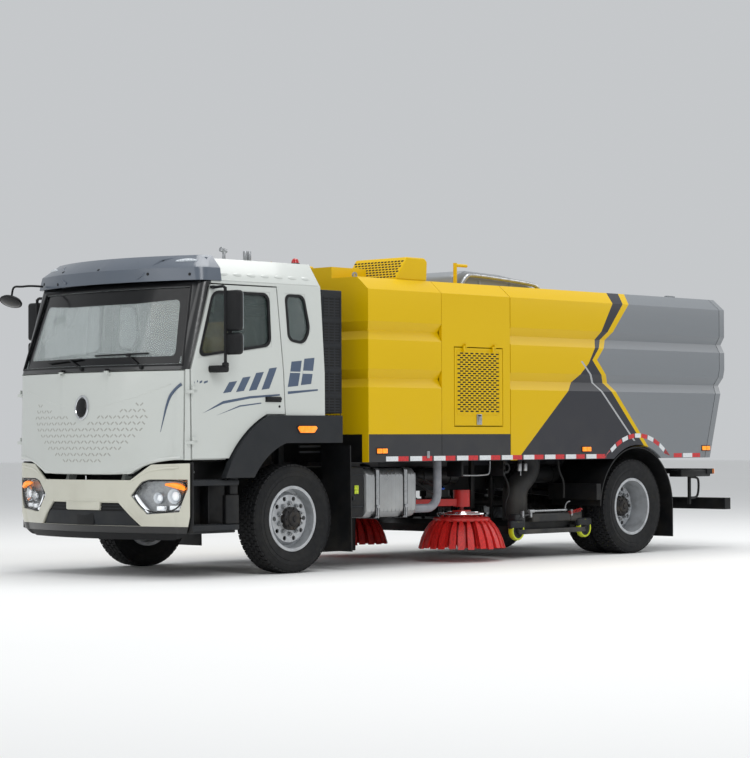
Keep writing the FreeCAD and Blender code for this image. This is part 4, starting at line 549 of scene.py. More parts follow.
# each finish: the record's slot it belongs to, and what it is made of
FINISHES = {
    # baked enamel on pressed steel: glossy, warm grey-white, black round the windscreen
    "cab": ("cab_paint", dict(
        name="baked_enamel_cab", base="cab_colour", roughness=0.3,
        coats=[(clouds(900, 0.35, 0.7, 0.12), "#B9BBB3"), (PILLARS, "#0B0C0E"), (grime(1.5, 0.16), DUST)],
        grain=ORANGE_PEEL, Coat_Weight=0.5, Coat_Roughness=0.08)),
    # the bumper's sprayed plastic is a little warmer than the steel beside it
    "bumper": ("cab_paint", dict(
        name="sprayed_plastic_bumper", base="bumper_colour", roughness=0.34,
        coats=[(clouds(700, 0.35, 0.7, 0.15), "#B8B5A4"), (grime(1.1, 0.3), DUST),
               (band(UP, 0, 0.468), "#0A0A0B")],
        grain=ORANGE_PEEL, Coat_Weight=0.4, Coat_Roughness=0.1)),
    # two-pack enamel on folded sheet: yellow, then dark and yellow bands, then a grey tail
    "body": ("body_paint", dict(
        name="two_pack_enamel_body", base="body_colour", roughness=0.36,
        coats=[(clouds(1400, 0.35, 0.7, 0.2), "#CDA300"), (BAND, "band_colour"), (FINE_LINE, "#A9ABAD"),
               (STRIPE, "body_colour"), (TAIL, "tail_colour"), (SKIRT, "skirt_colour"),
               # near-black on the lower front face behind the cab, partly painted shade of the gap there
               (FRONT_GAP_SHADE, "#101113"),
               (grime(1.7, 0.1), DUST)],
        grain=ORANGE_PEEL, Specular_IOR_Level=0.2, Coat_Weight=0.06, Coat_Roughness=0.14)),
    # the same enamel all yellow
    "yellow": ("body_paint", dict(
        name="two_pack_enamel_yellow", base="body_colour", roughness=0.36,
        coats=[(clouds(600, 0.35, 0.7, 0.2), "#CDA300")], grain=ORANGE_PEEL,
        Specular_IOR_Level=0.2, Coat_Weight=0.06, Coat_Roughness=0.14)),
    # the same enamel all grey, with thin dust
    "grey": ("body_paint", dict(
        name="two_pack_enamel_grey", base="tail_colour", roughness=0.38,
        coats=[(clouds(700, 0.35, 0.7, 0.25), "#686B6E"), (grime(1.7, 0.25), DUST)],
        grain=ORANGE_PEEL, Coat_Weight=0.25, Coat_Roughness=0.15)),
    # chassis enamel put on thick: satin black, dusty low down
    "black": ("chassis_paint", dict(
        name="chassis_enamel", base="#0E0F11", roughness=(0.42, 0.62, 90), Specular_IOR_Level=0.3,
        coats=[(clouds(120, 0.45, 0.75, 0.5), "#191A1D"), (grime(1.1, 0.2, 160), "#4E493F")],
        grain=speckle(18, 0.3))),
    # moulded polypropylene: dark grey and matt, with a leather-like grain drawn at 9 mm so that it shows
    "trim": ("trim", dict(
        name="moulded_polypropylene", base="#1C1F23", roughness=(0.5, 0.66, 200), Specular_IOR_Level=0.3,
        coats=[(clouds(300, 0.4, 0.75, 0.35), "#26292D"), (grime(1.6, 0.12), "#5E5A50")],
        grain=(cells(9), 0.3))),
    # painted ABS: blue-grey and half glossy
    "visor": ("trim", dict(
        name="painted_abs", base="#525B67", roughness=0.34, coats=[(clouds(500, 0.4, 0.7, 0.3), "#525860")],
        grain=ORANGE_PEEL, Coat_Weight=0.4, Coat_Roughness=0.1)),
    # gloss black ABS: nearly mirror-like under faint dust
    "gloss": ("trim", dict(
        name="gloss_black_abs", base="#0D0E10", roughness=(0.12, 0.24, 80),
        coats=[(clouds(60, 0.5, 0.8, 0.2), "#2A2A2A")],
        Specular_IOR_Level=0.25, Coat_Weight=0.1, Coat_Roughness=0.05)),
    # cast rubber and soft plastic seals: black and matt
    "seal": ("trim", dict(
        name="extruded_rubber_seal", base="#0F1012", roughness=0.55, Specular_IOR_Level=0.3,
        coats=[(clouds(90, 0.4, 0.75, 0.4), "#1A1B1E")],
        grain=speckle(10, 0.15))),
    # painted shade: near-black standing in for the shade deep inside an opening, which the eye reads as a
    # hole
    "hole_shade": ("chassis_paint", dict(
        name="matt_black_steel", base="#060607", roughness=0.9,
        coats=[(clouds(80, 0.4, 0.8, 0.3), "#101011")])),
    # cured rubber: deep grey and matt, browned by road dust
    "tyre": ("tyre", dict(
        name="cured_tyre_rubber", base="#141518", roughness=(0.62, 0.8, 50), Specular_IOR_Level=0.3,
        coats=[(clouds(45, 0.42, 0.75, 0.5), "#232320"), (clouds(420, 0.45, 0.7, 0.2), "#34322C")],
        grain=speckle(7, 0.3))),
    # silver wheel enamel: a metallic fleck under matt dust
    "wheel": ("wheel", dict(
        name="silver_wheel_enamel", base="#B9BCBF", roughness=(0.32, 0.55, 70), metallic=0.45,
        coats=[(clouds(90, 0.46, 0.75, 0.5), "#7E7E80")], grain=speckle(12, 0.12))),
    # cast iron under oil: dark and rough
    "casting": ("axle", dict(
        name="oiled_cast_iron", base="#201F20", roughness=(0.4, 0.62, 60), metallic=0.4,
        coats=[(clouds(50, 0.45, 0.7, 0.6), "#4B443B")], grain=speckle(9, 0.6))),
    # zinc plate: grey and softly bright
    "zinc": ("spring", dict(
        name="zinc_plated_steel", base="#A7A9AB", roughness=(0.25, 0.5, 30), metallic=0.9,
        coats=[(clouds(30, 0.45, 0.75, 0.5), "#77797B")])),
    # spring steel: dark, with a brown bloom between the leaves
    "spring": ("spring", dict(
        name="rolled_spring_steel", base="#232425", roughness=(0.45, 0.65, 40), metallic=0.6,
        coats=[(clouds(60, 0.5, 0.75, 0.5), "#43382E")], grain=(ribs(14, "Z"), 0.6))),
    # chrome plate: mirror bright
    "chrome": ("wheel", dict(
        name="chrome_plate", base="#D8DADC", roughness=(0.05, 0.16, 50), metallic=1.0,
        coats=[(clouds(60, 0.5, 0.8, 0.2), "#A9ACAE")])),
    # rolled aluminium sheet: bright, with fine lines along the roll
    "aluminium": ("tank", dict(
        name="rolled_aluminium", base="#A9ABAC", roughness=(0.26, 0.46, 160), metallic=0.85,
        coats=[(clouds(220, 0.42, 0.72, 0.4), "#8C8D8D"), (grime(1.0, 0.2), "#7D766A")],
        grain=(clouds(9, 0.3, 0.7, detail=2, stretch=(0.02, 1, 1)), 0.1))),
    # tinted safety glass: see-through with a grey-green cast
    "glass": ("glass", dict(
        name="tinted_safety_glass", base="#5F6F6C", roughness=0.02,
        coats=[(clouds(400, 0.4, 0.8, 0.1), "#55625F")],
        IOR=1.45, Transmission_Weight=0.6, Alpha=0.5)),
    # laminated glass: faintly green, with a milky pale base that is painted reflection of the bright sky
    "screen": ("glass", dict(
        name="laminated_glass", base="#E4EFEE", roughness=0.02,
        coats=[(clouds(400, 0.4, 0.8, 0.1), "#C9D6D3")],
        IOR=1.45, Transmission_Weight=0.5, Alpha=0.40)),
    # clear polycarbonate over a lamp
    "clear": ("lens", dict(
        name="clear_polycarbonate", base="#E4E8EA", roughness=0.03,
        coats=[(clouds(200, 0.4, 0.8, 0.1), "#D3DADD")],
        IOR=1.5, Transmission_Weight=0.8, Alpha=0.2)),
    # amber acrylic over a lit bulb: saturated orange with a warm core
    "amber": ("lens", dict(
        name="amber_acrylic", base="#F07A0A", roughness=0.18, coats=[(clouds(40, 0.4, 0.7, 0.5), "#FFB347")],
        Emission_Color="#FF8A1E", Emission_Strength=0.7)),
    # red acrylic lens with a fluted inside
    "red_lens": ("lens", dict(
        name="red_acrylic", base="#A80D0F", roughness=0.14, coats=[(clouds(30, 0.4, 0.7, 0.4), "#D3201D")],
        grain=(cells(12), 0.3), Coat_Weight=0.5)),
    # opal light guide: cool white and faintly lit
    "white_light": ("lens", dict(
        name="opal_light_guide", base="#F2F5F7", roughness=0.25,
        coats=[(clouds(30, 0.4, 0.7, 0.2), "#DDE3E8")],
        Emission_Color="#F4F8FF", Emission_Strength=0.3)),
    # silvered glass of a mirror
    "mirror": ("lens", dict(
        name="silvered_glass", base="#C9CED0", roughness=0.03, metallic=1.0,
        coats=[(clouds(150, 0.4, 0.8, 0.1), "#B9BFC2")])),
    # sprayed red enamel on welded steel, chipped and dusty
    "red": ("arm", dict(
        name="sprayed_red_enamel", base="#BD211E", roughness=(0.32, 0.5, 60),
        coats=[(clouds(70, 0.5, 0.75, 0.45), "#7E1A17")],
        grain=speckle(14, 0.2), Coat_Weight=0.2)),
    # extruded polypropylene bristle: red, with darker streaks that are painted shade where the strands part
    "bristle": ("bristle", dict(
        name="extruded_polypropylene_bristle", base="brush_colour", roughness=0.45,
        coats=[(clouds(9, 0.42, 0.62, 0.5, 2, (1, 1, 0.06)), "#7C0F10")],
        grain=(clouds(9, 0.35, 0.65, 1, 2, (1, 1, 0.06)), 1.2))),
    # moulded rubber with a grey bloom
    "rubber": ("duct", dict(
        name="moulded_rubber", base="#1C1D1F", roughness=(0.5, 0.68, 80),
        coats=[(clouds(80, 0.45, 0.75, 0.5), "#303134"), (grime(1.0, 0.35), "#6E675A")],
        grain=speckle(12, 0.2))),
    # ribbed PVC hose: mid grey and waxy
    "hose": ("hose", dict(
        name="ribbed_pvc", base="#85878D", roughness=(0.34, 0.5, 60),
        coats=[(clouds(60, 0.4, 0.75, 0.5), "#63656B")], grain=speckle(12, 0.15))),
    # woven seat cloth drawn at 24 mm so that the weave shows: soft at grazing angles
    "cloth": ("seat", dict(
        name="woven_seat_cloth", base="#2B2D31", roughness=0.9, coats=[(ribs(24, "Y"), "#3C3F45")],
        grain=(ribs(24, "Y"), 0.6), Sheen_Weight=0.5)),
    # retroreflective sheeting: a honeycomb under a glossy film
    "tape_red": ("lens", dict(
        name="retroreflective_sheet_red", base="#C8161C", roughness=0.3,
        coats=[(cells(14, 0.45, 0.9), "#A3121B")],
        Coat_Weight=0.5)),
    "tape_white": ("lens", dict(
        name="retroreflective_sheet_white", base="#D9DCDE", roughness=0.3,
        coats=[(cells(14, 0.45, 0.9), "#C9CDD0")],
        Coat_Weight=0.5)),
    # cast urethane: bright lime and waxy
    "lime": ("arm", dict(
        name="cast_urethane", base="#C3CF1B", roughness=0.4, coats=[(clouds(40, 0.5, 0.75, 0.5), "#8A8A2A")],
        grain=speckle(12, 0.2))),
    # lime reflective sheeting
    "lime_tape": ("lens", dict(
        name="retroreflective_sheet_lime", base="#C8DC28", roughness=0.3,
        coats=[(cells(14, 0.35, 0.6), "#A3B31C")])),
    # the same enamel painted darker as the shade of the pressed dashes, whose slopes face down
    "pressing": ("cab_paint", dict(
        name="enamel_in_pressings", base="#A3A49D", roughness=0.34,
        coats=[(clouds(60, 0.35, 0.7, 0.4), "#8B8C86")],
        grain=ORANGE_PEEL, Coat_Weight=0.4)),
    # clear lens over a bright reflector
    "clear_lamp": ("lens", dict(
        name="fluted_polycarbonate", base="#E9EEF2", roughness=0.15, coats=[(cells(12, 0.2, 0.7), "#BFC7CE")],
        grain=(cells(12), 0.3), Coat_Weight=0.6)),
    # cast vinyl film on paint: blue-grey and smooth
    "slate": ("cab_paint", dict(
        name="cast_vinyl_film", base="#46546A", roughness=0.35,
        coats=[(clouds(200, 0.4, 0.7, 0.3), "#5A687C")])),
    # blue polyurethane air tube
    "blue": ("hose", dict(
        name="polyurethane_tube", base="#1E63C8", roughness=0.35,
        coats=[(clouds(60, 0.4, 0.7, 0.3), "#164A97")])),
}
made = {}


def finish_named(name):
    """A finish, made the first time it is asked for."""
    if name not in made:
        made[name] = surface(**FINISHES[name][1])
    return made[name]


NODE_FINISHES = {
    "cab": ("cab_shell", "front_panel", "door_left", "door_right"),
    "bumper": ("front_bumper",),
    "body": ("power_pack_housing", "fan_housing", "service_door_left", "service_door_right", "hopper_body"),
    "yellow": ("roof_cowls",),
    "grey": ("tailgate", "roof_duct"),
    "black": ("chassis_frame", "battery_boxes", "tank_brackets", "rear_underrun", "frame_horns",
              "suction_nozzle", "mudguards"),
    "trim": ("wheel_arches", "cab_steps", "mirror_left", "mirror_right", "front_mirror", "dashboard",
             "bumper_grille", "air_intake"),
    "visor": ("sun_visor",),
    "glass": ("glass_left", "glass_right"),
    "screen": ("cab_glass",),
    "clear": ("lamps",),
    "casting": ("engine", "front_axle", "rear_axle", "knuckle_left", "knuckle_right"),
    "spring": ("leaf_springs",),
    "aluminium": ("fuel_tank",),
    "wheel": ("front_wheel_left", "front_wheel_right", "rear_wheels_left", "rear_wheels_right"),
    "tyre": ("front_tyre_left", "front_tyre_right", "rear_tyres_left", "rear_tyres_right"),
    "cloth": ("seats",),
    "red": ("brush_arm_left", "brush_arm_right"),
    "bristle": ("brush_left", "brush_right"),
    "rubber": ("suction_ducts",),
    "hose": ("water_hose",),
    "lime": ("nozzle_wheels",),
}


# ---------------------------------------------------------------- settings

def colour_setting(name, description, code):
    """A colour on the panel."""
    return FloatVectorProperty(name=name, description=description, subtype="COLOR", default=linear(code))


class SweeperSettings(bpy.types.PropertyGroup):
    """The colours and sizes a user would change."""

    cab_colour: colour_setting("Cab colour", "Enamel of the cab", "#C4C8C4")
    bumper_colour: colour_setting("Bumper colour", "Paint of the bumper", "#C9C8BA")
    body_colour: colour_setting("Body colour", "Enamel of the sweeper body", "#D6B000")
    band_colour: colour_setting("Band colour", "Dark band across the hopper", "#35363B")
    tail_colour: colour_setting("Tail colour", "Rear part of the hopper", "#7B7F83")
    skirt_colour: colour_setting("Skirt colour", "Lower edge of the body", "#36373A")
    brush_colour: colour_setting("Brush colour", "Bristles of the side brushes", "#D62420")
    tread_depth: FloatProperty(
        name="Tread depth", description="Depth of the tyre grooves", subtype="DISTANCE", unit="LENGTH",
        default=0.014)


# ---------------------------------------------------------------- wheels

TREAD_RIBS, TREAD_BLOCKS = 5, 56
WHEEL_NUTS, NUT_CIRCLE = 10, 0.142
HUB_BOLTS, HUB_CIRCLE = 8, 0.091


def tread_block(width, length, base, top):
    """One tread block with rounded upper edges; its middle is over the wheel's centre."""
    part = bmesh.new()
    bmesh.ops.create_cube(part, size=1)
    bmesh.ops.scale(part, vec=(length, width, top - base), verts=part.verts)
    bmesh.ops.translate(part, vec=(0, 0, (base + top) / 2), verts=part.verts)
    upper = [e for e in part.edges if all(v.co.z > base + 0.001 for v in e.verts)]
    bmesh.ops.bevel(part, geom=upper, offset=0.0025, segments=1, profile=0.5, affect="EDGES", material=-1)
    return part


def tyre_at(piece, axle_x, centre_y):
    """A treaded tyre: a carcass with side rings, and ribs cut into blocks."""
    depth = bpy.context.scene.sweeper.tread_depth
    half = TYRE_WIDTH / 2
    base = TYRE_RADIUS - depth
    lip = RIM_LIP + 0.001
    bead = RIM_HALF - 0.0145
    one_side = [
        (bead, lip), (RIM_HALF + 0.004, lip + 0.006), (half - 0.014, lip + 0.035), (half - 0.004, lip + 0.07),
        (half - 0.0015, lip + 0.085), (half - 0.005, lip + 0.087), (half - 0.001, lip + 0.102),
        (half, lip + 0.125), (half - 0.004, lip + 0.128), (half - 0.005, lip + 0.142),
        (half - 0.008, lip + 0.144),
        (half - 0.012, base - 0.028), (half - 0.022, base - 0.008), (half - 0.034, base),
    ]
    profile = [(-a, r) for a, r in one_side] + [(a, r) for a, r in reversed(one_side)] + [(-bead, lip)]
    piece.turned(profile, (axle_x, centre_y, TYRE_RADIUS), steps=72)
    tread = TYRE_WIDTH - 0.052
    rib = tread / TREAD_RIBS
    pitch = 2 * math.pi / TREAD_BLOCKS
    row = Piece()
    for index in range(TREAD_RIBS):
        edge = index in (0, TREAD_RIBS - 1)
        part = tread_block(rib * (1.04 if edge else 0.86), (TYRE_RADIUS * pitch) * (0.80 if edge else 0.84),
                           base - 0.003, TYRE_RADIUS - (0.003 if edge else 0.0005))
        bmesh.ops.translate(part, vec=(0, (index - TREAD_RIBS // 2) * rib, 0), verts=part.verts)
        turn = Matrix.Rotation(pitch / 2 * (index % 2), 3, "Y")
        bmesh.ops.rotate(part, matrix=turn, verts=part.verts)
        row.take(part)
    centre = Matrix.Translation((axle_x, centre_y, TYRE_RADIUS))
    piece.copies(row, [centre @ Matrix.Rotation(pitch * k, 4, "Y") for k in range(TREAD_BLOCKS)])


class SWEEPER_OT_tyres(bpy.types.Operator):
    """Treaded tyres on all the wheels"""
    bl_idname = "sweeper.tyres"
    bl_label = "Tyres"

    def execute(self, context):
        for side, word in SIDES:
            for tyre, wheel, axle_x, places in (
                ("front_tyre", "front_wheel", FRONT.x, (FRONT_Y,)),
                ("rear_tyres", "rear_wheels", REAR.x, (REAR_Y, REAR_Y - TWIN)),
            ):
                piece = Piece()
                for y in places:
                    tyre_at(piece, axle_x, side * y)
                done = piece.settle(f"treaded_{tyre}_{word}", f"{wheel}_{word}", "tyre")
                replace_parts(done, f"{tyre}_{word}")
        return {"FINISHED"}


class SWEEPER_OT_wheel_nuts(bpy.types.Operator):
    """Wheel nuts, hub covers and valves"""
    bl_idname = "sweeper.wheel_nuts"
    bl_label = "Wheel nuts and hubs"

    def execute(self, context):
        for side, word in SIDES:
            for place, axle_x, disc_y, cap_y, body in (
                ("front", FRONT.x, FRONT_Y + 0.062, FRONT_Y + 0.122, f"front_wheel_{word}"),
                ("rear", REAR.x, REAR_Y - 0.070, REAR_Y - 0.010, f"rear_wheels_{word}"),
            ):
                nuts = Piece()
                for along, up in around(WHEEL_NUTS, NUT_CIRCLE, 0.5):
                    x, z = axle_x + along, TYRE_RADIUS + up
                    nuts.bar((x, disc_y - 0.002, z), (x, disc_y + 0.006, z), 0.024, 14)
                    nuts.bar((x, disc_y + 0.004, z), (x, disc_y + 0.030, z), 0.0185, 6, bevel=0.003)
                    nuts.bar((x, disc_y + 0.028, z), (x, disc_y + 0.044, z), 0.010, 8, bevel=0.002)
                nuts.bar((axle_x + 0.20, disc_y - 0.05, TYRE_RADIUS + 0.145),
                         (axle_x + 0.185, disc_y + 0.02, TYRE_RADIUS + 0.135), 0.006, 8)
                nuts.settle(f"{place}_wheel_nuts_{word}", body, "zinc", side)
                hub = Piece()
                hub.turned([(disc_y - 0.004, 0.1075), (cap_y - 0.012, 0.1075), (cap_y - 0.002, 0.100),
                            (cap_y + 0.004, 0.086), (cap_y + 0.006, 0.074), (cap_y + 0.016, 0.070),
                            (cap_y + 0.024, 0.058), (cap_y + 0.026, 0.034), (cap_y + 0.034, 0.030),
                            (cap_y + 0.036, 0.0), (disc_y - 0.004, 0.0), (disc_y - 0.004, 0.1075)],
                           (axle_x, 0, TYRE_RADIUS), steps=48)
                for along, up in around(HUB_BOLTS, HUB_CIRCLE):
                    x, z = axle_x + along, TYRE_RADIUS + up
                    hub.bar((x, cap_y - 0.004, z), (x, cap_y + 0.012, z), 0.008, 6)
                hub.settle(f"{place}_hub_cover_{word}", body, "casting", side)
        return {"FINISHED"}


# ---------------------------------------------------------------- lamps

def lamp_face(side, y, z):
    """How far forward the headlamps' outer face lies."""
    return ahead(skin("lamps"), side * y, z)[0].x


def lamp_line(side, line, sink):
    """Places a distance behind the headlamps' outer face."""
    return [(lamp_face(side, y, z) - sink, side * y, z) for y, z in line]


class SWEEPER_OT_headlamps(bpy.types.Operator):
    """Headlamps with their round lamps, light guide and turn lamp"""
    bl_idname = "sweeper.headlamps"
    bl_label = "Headlamps"

    def execute(self, context):
        for side, word in SIDES:
            cover, tub = Piece(), Piece()
            cover.bm.from_mesh(NODES["lamps"].data)
            bmesh.ops.remove_doubles(cover.bm, verts=cover.bm.verts, dist=1e-5)
            others = [v for v in cover.bm.verts if v.co.x < 0 or v.co.y * side < 0]
            bmesh.ops.delete(cover.bm, geom=others, context="VERTS")
            bmesh.ops.dissolve_limit(cover.bm, angle_limit=math.radians(1), verts=cover.bm.verts,
                                     edges=cover.bm.edges)
            tub.bm = cover.bm.copy()
            sharp = [edge for edge in cover.bm.edges if edge.calc_face_angle(0) > 0.6]
            bmesh.ops.bevel(cover.bm, geom=sharp, offset=0.006, segments=2, profile=0.5,
                            affect="EDGES", material=-1)
            shell = cover.settle(f"headlamp_cover_{word}", "chassis", "clear")
            if side > 0:
                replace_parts(shell, "lamps")
            centre = sum((v.co for v in tub.bm.verts), Vector()) / len(tub.bm.verts)
            bmesh.ops.scale(tub.bm, vec=(1, 0.985, 0.97), space=Matrix.Translation(-centre),
                            verts=tub.bm.verts)
            bmesh.ops.translate(tub.bm, vec=(-0.066, -side * 0.014, 0), verts=tub.bm.verts)
            tub.settle(f"headlamp_tub_{word}", "chassis", "zinc")
            inside, bulbs = Piece(), Piece()
            for y, z, radius in ((1.015, 0.738, 0.070), (0.862, 0.722, 0.052)):
                x = lamp_face(side, y, z) - 0.050
                out = (1, 0.35 * side, 0)
                inside.turned([(0.03, radius), (0.036, radius * 0.96), (0.026, radius * 0.90),
                               (0.004, radius * 0.72), (-0.006, radius * 0.62), (-0.006, 0), (-0.02, 0),
                               (-0.02, radius), (0.03, radius)],
                              (x, side * y, z), out, 40)
                bulbs.ball((x + 0.004, side * y, z), radius * 0.6, (0.5, 1, 1))
            for low, high in (((0.83, 0.598), (0.935, 0.655)), ((0.955, 0.605), (1.085, 0.660))):
                y, z = (low[0] + high[0]) / 2, (low[1] + high[1]) / 2
                wide, tall = high[0] - low[0], high[1] - low[1]
                x = lamp_face(side, y, z) - 0.045
                lean = Matrix.Rotation(side * 0.35, 3, "Z")
                inside.block((x, side * y, z), (0.03, wide, tall), 0.010, lean, 3)
                bulbs.block((x + 0.016, side * y, z), (0.02, wide - 0.03, tall - 0.02), 0.006, lean)
            inside.settle(f"headlamp_reflectors_{word}", "chassis", "chrome")
            bulbs.settle(f"headlamp_projectors_{word}", "chassis", "white_light")
            guide = Piece()
            line = ((0.640, 0.742), (0.675, 0.700), (0.735, 0.630), (0.775, 0.598))
            guide.pipe(lamp_line(side, line, 0.012), 0.017)
            guide.settle(f"headlamp_light_guide_{word}", "chassis", "white_light")
            turn = Piece()
            line = ((0.945, 0.842), (1.03, 0.838), (1.10, 0.822), (1.145, 0.800))
            turn.pipe(lamp_line(side, line, 0.014), 0.026, widths=(0.4, 1, 1, 0.7))
            turn.settle(f"front_turn_lamp_{word}", "chassis", "amber")
            rim = Piece()
            outline = [(0.598, 0.740), (0.720, 0.865), (0.800, 0.887), (1.160, 0.887), (1.160, 0.800),
                       (1.095, 0.600), (0.760, 0.575)]
            rim.pipe(lamp_line(side, drawn_in(outline, 0.008), 0.001), 0.007, closed=True)
            rim.settle(f"headlamp_rim_{word}", "chassis", "gloss")
        return {"FINISHED"}


class SWEEPER_OT_rear_lamps(bpy.types.Operator):
    """Rear lamps on the rear bar"""
    bl_idname = "sweeper.rear_lamps"
    bl_label = "Rear lamps"

    def execute(self, context):
        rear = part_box("lamps")[0].x
        for side, word in SIDES:
            case, red, amber = Piece(), Piece(), Piece()
            case.span((rear + 0.006, 0.90, 0.835), (rear + 0.03, 1.18, 0.895), 0.006)
            for index, piece in enumerate((red, red, amber)):
                low = 0.906 + 0.091 * index
                piece.span((rear, low, 0.840), (rear + 0.012, low + 0.086, 0.890), 0.005)
            case.settle(f"rear_lamp_case_{word}", "chassis", "trim", side)
            red.settle(f"rear_lamp_red_{word}", "chassis", "red_lens", side)
            amber.settle(f"rear_lamp_amber_{word}", "chassis", "amber", side)
        return {"FINISHED"}


# ---------------------------------------------------------------- cab front

class SWEEPER_OT_front_panel(bpy.types.Operator):
    """Front panel: pressed dashes, crease, rolled edge, side line and a blank badge"""
    bl_idname = "sweeper.front_panel"
    bl_label = "Front panel"

    def execute(self, context):
        tree = skin("front_panel")
        softened("front_panel", "cab", 0.008)
        softened("cab_shell", "cab", 0.012)
        dashes = Piece()
        # how far from the middle each row starts and ends, from the lowest up
        rows = ((0, 0.30), (0, 0.42), (0, 0.54), (0, 0.62), (0, 0.68), (0, 0.73),
                (0.10, 0.78), (0.20, 0.81), (0.50, 0.79), (0.67, 0.76))
        for row, (inner, outer) in enumerate(rows):
            z = 1.053 + 0.0563 * row
            for column in range(-18, 19):
                y = (column + 0.5 * (row % 2)) * 0.05
                if inner <= abs(y) <= outer:
                    place, normal = ahead(tree, y, z)
                    dashes.block(place - normal * 0.0055, (0.044, 0.018, 0.014), 0.004,
                                 facing(normal, 38 * (-1) ** column), 1)
        for vert in dashes.bm.verts:
            vert.co.x = min(vert.co.x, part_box("front_panel")[1].x)
        # the dashes' darker enamel is painted shade of their pressing
        dashes.settle("pressed_dashes", "front_panel", "pressing")
        crease = Piece()
        line = ((-1.0, 1.70), (-0.80, 1.655), (-0.50, 1.585), (-0.22, 1.535), (0.22, 1.535), (0.50, 1.585),
                (0.80, 1.66), (1.02, 1.735))
        crease.pipe(front_line(tree, line), 0.0055)
        line = ((-1.12, 1.082), (-0.84, 1.068), (-0.60, 0.952), (-0.30, 0.945), (0.30, 0.945), (0.60, 0.952),
                (0.84, 1.068), (1.12, 1.082))
        crease.pipe(front_line(tree, line, 0.008), 0.018)
        crease.settle("panel_rolled_edge", "front_panel", "cab")
        stripe = Piece()
        line = ((0.925, 1.31), (0.955, 1.44), (0.985, 1.56), (1.03, 1.665), (1.125, 1.735))
        stripe.pipe(front_line(tree, line), 0.015, widths=(0.15, 0.45, 0.75, 1, 1))
        stripe.settle("panel_side_line", "front_panel", "slate")
        place, normal = ahead(tree, 0, 1.535)
        spot = Matrix.Translation(place) @ facing(normal).to_4x4() @ Matrix.Diagonal((0.95, 1.15, 1, 1))
        for name, finish, profile in (
            ("rim", "chrome", [(0, 0), (0, 0.1), (0.010, 0.1), (0.016, 0.094), (0.016, 0.084), (0.010, 0.080),
                               (0.010, 0)]),
            ("field", "gloss", [(0.004, 0), (0.004, 0.082), (0.013, 0.076), (0.019, 0.05), (0.021, 0)]),
        ):
            badge, flat = Piece(), Piece()
            flat.turned(profile, (0, 0, 0), UP, 48)
            badge.copies(flat, [spot])
            badge.settle(f"badge_{name}", "front_panel", finish)
        return {"FINISHED"}


class SWEEPER_OT_bumper(bpy.types.Operator):
    """Bumper with its mouth, plate bracket, cover block and fold, and the splash plate over it"""
    bl_idname = "sweeper.bumper"
    bl_label = "Bumper"

    def execute(self, context):
        softened("front_bumper", "bumper", 0.012)
        softened("bumper_grille", "seal", 0.004)
        grille, tree = skin("bumper_grille"), skin("front_bumper")
        front = ahead(tree, 0, 0.72)[0].x
        mouth = Piece()
        outline = rounded([(-0.655, 0.474), (0.655, 0.474), (0.55, 0.600), (-0.55, 0.600)], 0.012)
        draped(mouth, outline, grille, (-1, 0, 0), 0.010, 0.06, 0.012)
        for z, half in ((0.625, 0.50), (0.652, 0.475)):
            outline = rectangle(-half, z - 0.005, half, z + 0.005)
            draped(mouth, outline, grille, (-1, 0, 0), 0.010, 0.06, 0.006)
        mouth.settle("mouth_panel", "chassis", "trim")
        bracket = Piece()
        bracket.plate(rounded(rectangle(-0.235, 0.606, 0.235, 0.69), 0.018), front - 0.045, front - 0.006,
                      "x", 0.004)
        bracket.settle("plate_bracket", "chassis", "bumper")
        cover = Piece()
        cover.plate(rounded(rectangle(-0.10, 0.478, 0.14, 0.585), 0.016), front - 0.060, front - 0.018,
                    "x", 0.005)
        cover.settle("mouth_cover", "chassis", "seal")
        edge = Piece()
        line = ((-0.70, 0.462), (-0.455, 0.688), (0.455, 0.688), (0.70, 0.462))
        for start, end in zip(line, line[1:]):
            places = [(y * 1.012, z + 0.004) for y, z in between(start, end, 6)]
            edge.pipe(front_line(tree, places, 0.004), 0.010)
        edge.settle("mouth_edge", "chassis", "bumper")
        fold = Piece()
        for side in (1, -1):
            line = ((0.60, 0.868), (0.74, 0.948), (0.90, 0.985), (1.10, 0.995))
            fold.pipe(front_line(tree, line, 0.006, side), 0.013)
        fold.settle("bumper_fold", "chassis", "bumper")
        splash = Piece()
        splash.span((4.036, -0.56, 0.916), (4.046, 0.56, 1.062), 0.003)
        splash.settle("splash_plate", "cab", "seal")
        return {"FINISHED"}


SCREEN = [(-1.11, 1.915), (1.11, 1.915), (1.01, 2.61), (-1.01, 2.61)]


